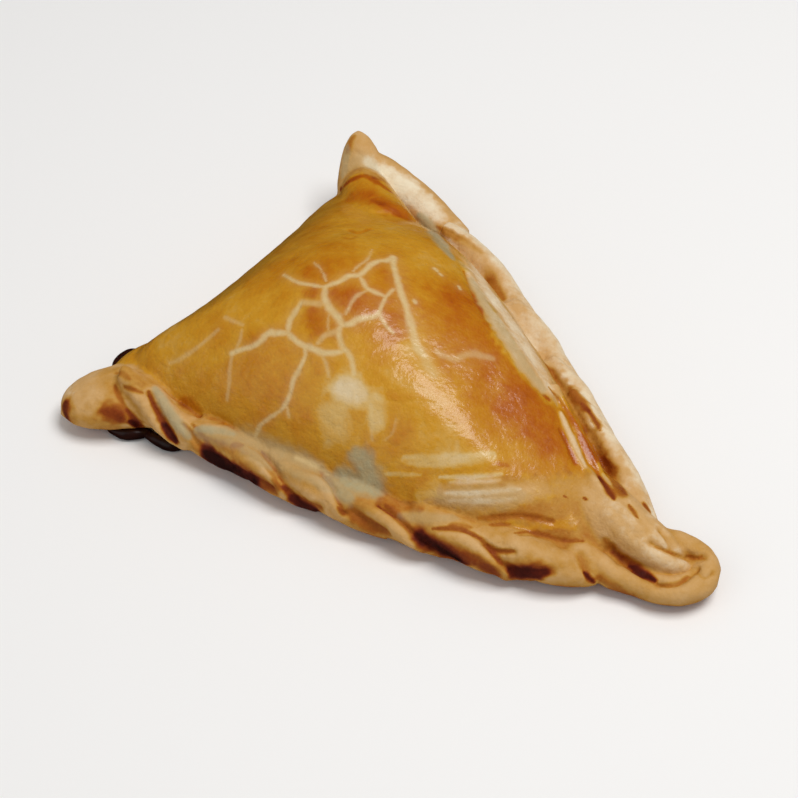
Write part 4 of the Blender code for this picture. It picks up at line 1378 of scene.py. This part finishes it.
@dataclass
class Crust:
    """The whole baked crust: the pillow, its two ropes and its ends, as one soft skin."""

    camera: PhotoCamera
    pillow: Pillow = Pillow()
    front: Rope = FRONT_ROPE
    back: Rope = BACK_ROPE
    ends: tuple[DoughEnd, ...] = ENDS
    curl: Curl = Curl()
    flap: Flap = Flap()
    # The skin's mesh: how it is fused and softened, and how it is thinned.
    voxel: float = 0.36
    smoothing: int = 4
    smoothing_factor: float = 0.5
    triangles: int = 190_000
    underside_height: float = 0.02
    plain_change: float = 0.01
    plain_rounds: int = 2
    zone_rounds: int = 6
    # The relief on it.
    blend_rounds: int = 40
    unevenness: tuple[Lumps, ...] = (Lumps(0.20, 8.0, 3.0), Lumps(0.09, 3.0, 11.0), Lumps(0.07, 1.7, 23.0))
    pillow_calm: float = 0.7
    crack_depth: float = 0.06
    crack_halo: float = 0.12
    relief_height: float = 2.0
    # The darkening in its creases and at its foot: partly real baking, partly painted shade.
    crease_rounds: int = 12
    crease_depths: tuple[float, float] = (-0.12, 0.35)
    foot_heights: tuple[float, float] = (5.5, 1.0)
    foot_level: float = 0.76
    foot_cover: float = 0.85
    foot_power: float = 1.5
    foot_lumps: Lumps = Lumps(1.2, 5.0, 41.0)
    # The flank that the brush missed: from and to along the back seam, how far in, and over what it fades.
    missed_flank: tuple[float, float, float, float] = (16.0, 62.0, 10.0, 3.0)
    missed_level: float = 0.14
    missed_lumps: Lumps = Lumps(1.0, 4.0, 43.0)

    def pieces(self, dough: bpy.types.Material) -> list[tuple[Zone, bpy.types.Mesh]]:
        """Makes every roll of dough, each with the zone it belongs to."""
        pillow = self.pillow.build()
        tree = RopeTree()
        tree.build()
        made = [(Zone.PILLOW, pillow), (Zone.PILLOW, self.flap.build(self.back.seam, surface_of(pillow)))]
        made += [(Zone.FRONT_ROPE, mesh) for mesh in self.front.build(tree, dough)]
        made += [(Zone.BACK_ROPE, mesh) for mesh in self.back.build(tree, dough)]
        made += [(end.zone, end.build()) for end in self.ends]
        made.append((Zone.CURL, self.curl.build()))
        for _, mesh in made:
            set_points(mesh, vertex_points(mesh) + DRAWING_ORIGIN)
        return made

    def fused(self, pieces: Sequence[tuple[Zone, bpy.types.Mesh]]) -> bpy.types.Object:
        """Fuses the pieces into one smooth skin that is flat underneath."""
        joined = bmesh.new()
        for _, mesh in pieces:
            joined.from_mesh(mesh)
        mesh = bpy.data.meshes.new("crust")
        joined.to_mesh(mesh)
        joined.free()
        crust = linked("crust", mesh)
        remesh = crust.modifiers.new("fuse", "REMESH")
        remesh.mode = "VOXEL"
        remesh.voxel_size = self.voxel
        smooth = crust.modifiers.new("soften", "SMOOTH")
        smooth.factor = self.smoothing_factor
        smooth.iterations = self.smoothing
        mesh = baked(crust)
        points = vertex_points(mesh)
        points[:, 2] = np.maximum(points[:, 2], 0.0)
        set_points(mesh, points)
        self.thinned(crust, np.flatnonzero(points[:, 2] < self.underside_height))
        return crust

    def thinned(self, crust: bpy.types.Object, plain: np.ndarray) -> None:
        """Joins triangles between the points of those numbers, the flattest first, down to a set count."""
        group = crust.vertex_groups.new(name="plain")
        group.add(plain.tolist(), 1.0, "REPLACE")
        count = triangle_count(crust.data)
        thin = crust.modifiers.new("thin", "DECIMATE")
        thin.ratio = min(1.0, self.triangles / count)
        thin.vertex_group = group.name
        baked(crust)
        crust.vertex_groups.clear()
        LOG.info("crust skin: %d triangles before, %d after", count, triangle_count(crust.data))

    def zone_shares(self, pieces: Sequence[tuple[Zone, bpy.types.Mesh]], mesh: bpy.types.Mesh) -> np.ndarray:
        """How much each point of the skin belongs to each zone, one column for each."""
        clouds = [(zone, vertex_points(piece)) for zone, piece in pieces]
        finder = KDTree(sum(len(cloud) for _, cloud in clouds))
        zones: list[int] = []
        for zone, cloud in clouds:
            for p in cloud:
                finder.insert(p, len(zones))
                zones.append(zone.value)
        finder.balance()
        nearest = np.array([zones[finder.find(p)[1]] for p in vertex_points(mesh)])
        return neighbour_mean(mesh, np.eye(len(Zone))[nearest], self.zone_rounds)

    def relief(self, mesh: bpy.types.Mesh, zones: np.ndarray) -> None:
        """Gives the skin its folds, strips and small unevenness, all inside the solid's box."""
        set_points(mesh, Skin(mesh, self.camera).blended(self.blend_rounds))
        skin = Skin(mesh, self.camera)
        points = skin.points
        pillow = zones[:, Zone.PILLOW.value]
        moved = skin.folded()
        broad, middle, fine = (lumps.at(points) for lumps in self.unevenness)
        moved += broad + middle
        moved += fine * (1 - self.pillow_calm * pillow)
        moved -= self.crack_depth * skin.covered(CRACKS_AND_GLINTS, CRACKING)
        above = np.clip(points[:, 2] / self.relief_height, 0, 1)
        set_points(mesh, inside_box(points + skin.normals * (moved * above)[:, None]))

    def missed(self, points: np.ndarray) -> np.ndarray:
        """How far the brush missed each point of the flank above the back rope, from 0 to 1."""
        first, last, reach, fade = self.missed_flank
        seam = self.back.seam.points()
        along_seam = np.linspace(0, self.back.seam.length(), len(seam))
        gap = np.full(len(points), np.inf)
        for spot in seam[(along_seam > first) & (along_seam < last)]:
            gap = np.minimum(gap, np.linalg.norm(points[:, :2] - spot, axis=1))
        return np.clip((reach - gap + self.missed_lumps.at(points)) / fade, 0, 1)

    def paint(self, mesh: bpy.types.Mesh, zones: np.ndarray) -> np.ndarray:
        """Stores what the material reads: how baked the crust is, and where wash, flour and syrup lie.

        Args:
            mesh: The crust's mesh.
            zones: How much each of its points belongs to each zone.

        Returns:
            The numbers of the points round which the paint hardly changes.
        """
        skin = Skin(mesh, self.camera)
        points = skin.points
        pillow = zones[:, Zone.PILLOW.value]
        level, crease_darkening = np.zeros(len(points)), np.zeros(len(points))
        for zone, baking in BAKINGS.items():
            level += baking.level * zones[:, zone.value]
            crease_darkening += baking.creases * zones[:, zone.value]
        # Darker in the creases: partly baked sugar, partly painted shade where the creases lie in shadow.
        sunk = ((neighbour_mean(mesh, points, self.crease_rounds) - points) * skin.normals).sum(1)
        level += crease_darkening * np.clip(sunk, *self.crease_depths)
        # Darker towards the foot: partly browned on the tray, partly painted shade on the low sides that the
        # light reaches least.
        high, low = self.foot_heights
        foot = np.clip((high - points[:, 2] + self.foot_lumps.at(points)) / (high - low), 0, 1)
        level += (self.foot_level - level) * self.foot_cover * foot**self.foot_power
        missed = self.missed(points)
        level += (self.missed_level - level) * missed * pillow
        # Cracked wash, and the painted highlight glints among its lines.
        cracks_and_glints = skin.covered(CRACKS_AND_GLINTS, CRACKING)
        halo = self.crack_halo * skin.covered(CRACKS_AND_GLINTS, HALO)
        wash = np.maximum(pillow * (1 - missed), skin.covered(WASHED))
        wash *= 1 - skin.covered(UNWASHED)
        amounts = {
            Paint.BAKE: skin.painted(level, BAKED_AND_SHADING),
            Paint.CRACK_AND_GLINT: np.maximum(cracks_and_glints, halo),
            Paint.FLOUR: skin.covered(FLOURED),
            Paint.SYRUP: skin.covered(SYRUPED),
            Paint.WASH: wash,
        }
        for paint, amount in amounts.items():
            set_attribute(mesh, paint.value, amount)
        rows = np.column_stack(list(amounts.values()))
        change = np.abs(rows - neighbour_mean(mesh, rows, self.plain_rounds)).max(1)
        return np.flatnonzero(change < self.plain_change)

    def build(self, dough: bpy.types.Material) -> bpy.types.Object:
        """Makes the finished crust.

        Args:
            dough: The crust's material.

        Returns:
            The crust's object, in metres.
        """
        pieces = self.pieces(dough)
        crust = self.fused(pieces)
        mesh = crust.data
        zones = self.zone_shares(pieces, mesh)
        self.relief(mesh, zones)
        self.thinned(crust, self.paint(mesh, zones))
        mesh = crust.data
        set_points(mesh, vertex_points(mesh) * MM)
        mesh.materials.clear()
        mesh.materials.append(dough)
        mesh.shade_smooth()
        return crust


# --------------------------------------------------------------------------- syrup


@dataclass(frozen=True)
class Syrup:
    """A run of filling that leaked out and burnt on beside the crust, along pixels of the photo."""

    name: str
    radius: float
    height: float
    pixels: tuple[Pixel, ...]
    flatness: float = 0.9
    lumpiness: float = 0.12
    lump_size: float = 2.4
    seed: float = 5.0
    rings: int = 48
    step: float = 1.5
    end_share: float = 0.98

    def build(self, camera: PhotoCamera, syrup: bpy.types.Material) -> bpy.types.Object:
        """Makes the run, a little lumpy as boiled syrup sets, with its far side inside the crust."""
        centres = [camera.at_height(tuple(p), self.height) for p in along(self.pixels, self.step)]
        shares = np.linspace(-1, 1, self.rings)
        radii = self.radius * np.sqrt(1 - self.end_share * shares**2)
        mesh = swept_tube(self.name, resampled(np.array(centres), self.rings), radii, self.flatness)
        points = vertex_points(mesh)
        lumps = Lumps(self.lumpiness * self.radius, self.lump_size, self.seed)
        points += vertex_normals(mesh) * lumps.at(points)[:, None]
        set_points(mesh, inside_box(points) * MM)
        mesh.materials.append(syrup)
        mesh.shade_smooth()
        return linked(self.name, mesh)


SYRUPS = (
    Syrup("burnt_syrup_behind_tab", 2.2, 4.6, ((114, 369), (122, 364), (132, 358), (146, 356))),
    Syrup("burnt_syrup_under_tab", 1.5, 1.2, ((108, 428), (118, 431), (130, 433), (152, 432))),
    Syrup("burnt_syrup_under_strand", 1.4, 1.1, ((143, 432), (158, 440), (172, 445), (192, 443))),
)


# --------------------------------------------------------------------------- finishes


@dataclass(frozen=True)
class BakedDough:
    """Sweet wheat dough, brushed with egg and baked.

    The egg wash on the pillow dries to a thin satin film, golden where it is thin and orange where it
    pooled. Where the crust swelled the film cracked and the pale dough shows. The rope and the ends
    missed the brush and are matt. Both go from pale through golden and red-brown to nearly black with
    the level that the mesh holds: how far the dough is baked, with painted shade that darkens its
    creases, pockets and low sides and painted highlight that pales part of the crown. A few painted
    highlight glints take the pale colour of cracked wash.
    """

    name: str = "egg_washed_sweet_dough"
    dough: tuple = (
        (0.0, "#EBDBBC"),
        (0.2, "#D0A56C"),
        (0.4, "#BE8A3C"),
        (0.55, "#A8651C"),
        (0.7, "#883C0E"),
        (0.85, "#5C1A08"),
        (1.0, "#2E0804"),
    )
    wash: tuple = (
        (0.0, "#DDC8A2"),
        (0.25, "#D2AA60"),
        (0.42, "#CA9022"),
        (0.55, "#BE7A10"),
        (0.68, "#B05C04"),
        (0.8, "#963F04"),
        (1.0, "#5A1C06"),
    )
    cracked: str = "#D8BE88"
    flour: str = "#AAA07C"
    noises: tuple = (("broad", 14.0, 2.0), ("middle", 4.5, 4.0), ("ragged", 1.4, 4.0), ("grain", 0.6, 3.0))
    noise_roughness: float = 0.55
    noise_range: tuple[float, float] = (0.25, 0.75)
    mottling: tuple = (("broad", 0.06), ("middle", 0.07), ("ragged", 0.03), ("grain", 0.02))
    edge_raggedness: float = 0.25
    edge_range: tuple[float, float] = (0.3, 0.75)
    flour_cover: float = 0.8
    crack_cover: float = 0.82
    cover_raggedness: float = 0.2
    roughness: tuple[float, float, float] = (0.62, 0.42, 0.25)
    grain_roughness: float = 0.06
    specular: float = 0.12
    film: float = 0.5
    film_roughness: float = 0.19
    film_ripple: tuple[float, float, float] = (1.3, 0.12, 2.0)
    bumps: tuple = (("grain", 0.08), ("ragged", 0.30), ("middle", 0.15))

    def build(self) -> bpy.types.Material:
        """Makes the material."""
        made, tree, shader = new_material(self.name)
        place = add_node(tree, "ShaderNodeTexCoord").outputs["Object"]
        noises, swings, held = {}, {}, {}
        for name, size, detail in self.noises:
            ins = {"Vector": place, "Scale": 1 / (size * MM), "Detail": detail}
            noises[name] = add_node(tree, "ShaderNodeTexNoise", {**ins, "Roughness": self.noise_roughness})
            # Where a noise moves a level, it runs from about -1 to 1.
            ins = dict(enumerate((noises[name], *self.noise_range, -1.0, 1.0)))
            swings[name] = add_node(tree, "ShaderNodeMapRange", ins, clamp=False)
        for paint in Paint:
            held[paint] = add_node(tree, "ShaderNodeAttribute", attribute_name=paint.value).outputs["Fac"]
        # The level holds the baking with its painted shade and painted highlight.
        level = held[Paint.BAKE]
        for name, amount in self.mottling:
            ins = {0: swings[name], 1: amount, 2: level}
            level = add_node(tree, "ShaderNodeMath", ins, operation="MULTIPLY_ADD")
        ins = {0: swings["ragged"], 1: self.edge_raggedness, 2: held[Paint.WASH]}
        edge = add_node(tree, "ShaderNodeMath", ins, operation="MULTIPLY_ADD")
        ins = dict(enumerate((edge, *self.edge_range)))
        edge = add_node(tree, "ShaderNodeMapRange", ins, interpolation_type="SMOOTHSTEP")
        bare = add_node(tree, "ShaderNodeValToRGB", {0: level}, stops=self.dough)
        washed = add_node(tree, "ShaderNodeValToRGB", {0: level}, stops=self.wash)
        colour = add_node(tree, "ShaderNodeMix", {0: edge, 6: bare, 7: washed}, data_type="RGBA")
        ins = {0: swings["ragged"], 1: self.cover_raggedness, 2: 1.0}
        broken = add_node(tree, "ShaderNodeMath", ins, operation="MULTIPLY_ADD")
        # The pale colour of cracked wash also paints a few highlight glints.
        for paint, shade, cover in (
            (Paint.FLOUR, self.flour, self.flour_cover),
            (Paint.CRACK_AND_GLINT, self.cracked, self.crack_cover),
        ):
            share = add_node(tree, "ShaderNodeMath", {0: broken, 1: held[paint]}, operation="MULTIPLY")
            ins = {0: share, 1: cover}
            share = add_node(tree, "ShaderNodeMath", ins, operation="MULTIPLY", use_clamp=True)
            ins = {0: share, 6: colour, 7: linear(shade)}
            colour = add_node(tree, "ShaderNodeMix", ins, data_type="RGBA")
        matt, satin, wet = self.roughness
        ins = {0: edge, 1: satin - matt, 2: matt}
        rough = add_node(tree, "ShaderNodeMath", ins, operation="MULTIPLY_ADD")
        ins = {0: swings["grain"], 1: self.grain_roughness, 2: rough}
        rough = add_node(tree, "ShaderNodeMath", ins, operation="MULTIPLY_ADD")
        ins = {0: held[Paint.SYRUP], 2: rough, 3: wet}
        rough = add_node(tree, "ShaderNodeMix", ins, data_type="FLOAT")
        size, depth, detail = self.film_ripple
        ins = {"Vector": place, "Scale": 1 / (size * MM), "Detail": detail}
        ripple = add_node(tree, "ShaderNodeTexNoise", ins)
        bump: dict[str, bpy.types.Node] = {}
        for name, reach in self.bumps:
            ins = {"Height": noises[name], "Strength": 1.0, "Distance": reach * MM, **bump}
            bump = {"Normal": add_node(tree, "ShaderNodeBump", ins)}
        ins = {"Height": ripple, "Strength": 1.0, "Distance": depth * MM}
        coat = {
            "Coat Weight": add_node(tree, "ShaderNodeMath", {0: edge, 1: self.film}, operation="MULTIPLY"),
            "Coat Roughness": self.film_roughness,
            "Coat Normal": add_node(tree, "ShaderNodeBump", ins),
        }
        feed(shader, {"Base Color": colour, "Roughness": rough, "Specular IOR Level": self.specular})
        feed(shader, {**coat, **bump})
        return made


@dataclass(frozen=True)
class BurntSyrup:
    """Pineapple syrup boiled out of the seam and burnt on the tray: nearly black, hard and glossy."""

    name: str = "burnt_fruit_syrup"
    thin: str = "#3A1509"
    thick: str = "#140504"
    patch_size: float = 2.5
    patch_detail: float = 3.0
    roughness: float = 0.38
    specular: float = 0.25
    film: float = 0.1
    film_roughness: float = 0.1

    def build(self) -> bpy.types.Material:
        """Makes the material."""
        made, tree, shader = new_material(self.name)
        place = add_node(tree, "ShaderNodeTexCoord").outputs["Object"]
        ins = {"Vector": place, "Scale": 1 / (self.patch_size * MM), "Detail": self.patch_detail}
        patch = add_node(tree, "ShaderNodeTexNoise", ins)
        ins = {0: patch, 6: linear(self.thin), 7: linear(self.thick)}
        colour = add_node(tree, "ShaderNodeMix", ins, data_type="RGBA")
        feed(shader, {"Base Color": colour, "Roughness": self.roughness, "Specular IOR Level": self.specular})
        feed(shader, {"Coat Weight": self.film, "Coat Roughness": self.film_roughness})
        return made


# --------------------------------------------------------------------------- studio


@dataclass(frozen=True)
class Studio:
    """A plain pale floor under one soft light from almost overhead, with plain air round it."""

    floor_size: float = 6.0
    floor_colour: str = "#F4F2EF"
    floor_roughness: float = 0.9
    world_colour: str = "#EEF0F4"
    world_strength: float = 0.34
    key_place: Point3 = (0.22, 0.04, 0.77)
    key_size: float = 0.40
    key_power: float = 4.6
    fill_place: Point3 = (-0.5, -0.7, 0.6)
    fill_size: float = 0.9
    fill_power: float = 1.6

    def build(self) -> None:
        """Makes the floor, the lights and the world, and sets plain sRGB display."""
        half = self.floor_size / 2
        corners = [(-half, -half, 0), (half, -half, 0), (half, half, 0), (-half, half, 0)]
        mesh = mesh_from("floor", np.array(corners), [(0, 1, 2, 3)])
        card, _, shader = new_material("matt_white_card")
        feed(shader, {"Base Color": linear(self.floor_colour), "Roughness": self.floor_roughness})
        mesh.materials.append(card)
        floor = linked("floor", mesh)
        floor.visible_glossy = False
        self.lamp("key_light", self.key_place, self.key_size, self.key_power)
        self.lamp("fill_light", self.fill_place, self.fill_size, self.fill_power)
        world = bpy.data.worlds.new("studio_air")
        world.use_nodes = True
        air = {"Color": linear(self.world_colour), "Strength": self.world_strength}
        feed(world.node_tree.nodes["Background"], air)
        bpy.context.scene.world = world
        world.cycles_visibility.glossy = False
        bpy.context.scene.view_settings.view_transform = "Standard"

    @staticmethod
    def lamp(name: str, place: Point3, size: float, power: float) -> None:
        """Makes a square soft light that faces the pastry."""
        data = bpy.data.lights.new(name, "AREA")
        data.size = size
        data.energy = power
        made = linked(name, data)
        made.location = place
        made.rotation_euler = (-Vector(place)).to_track_quat("-Z", "Y").to_euler()


def main() -> None:
    """Builds the pastry in order and says which pieces are done."""
    logging.basicConfig(level=logging.INFO, format="%(name)s: %(message)s")
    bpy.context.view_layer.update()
    camera = PhotoCamera()
    camera.build()
    dough, syrup = BakedDough().build(), BurntSyrup().build()
    crust = Crust(camera).build(dough)
    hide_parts(NODE)
    pieces = [crust, *(run.build(camera, syrup) for run in SYRUPS)]
    for piece in pieces:
        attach(piece, BODY)
        LOG.info("%s: %d triangles", piece.name, triangle_count(piece.data))
    Studio().build()


if __name__ == "__main__":
    main()
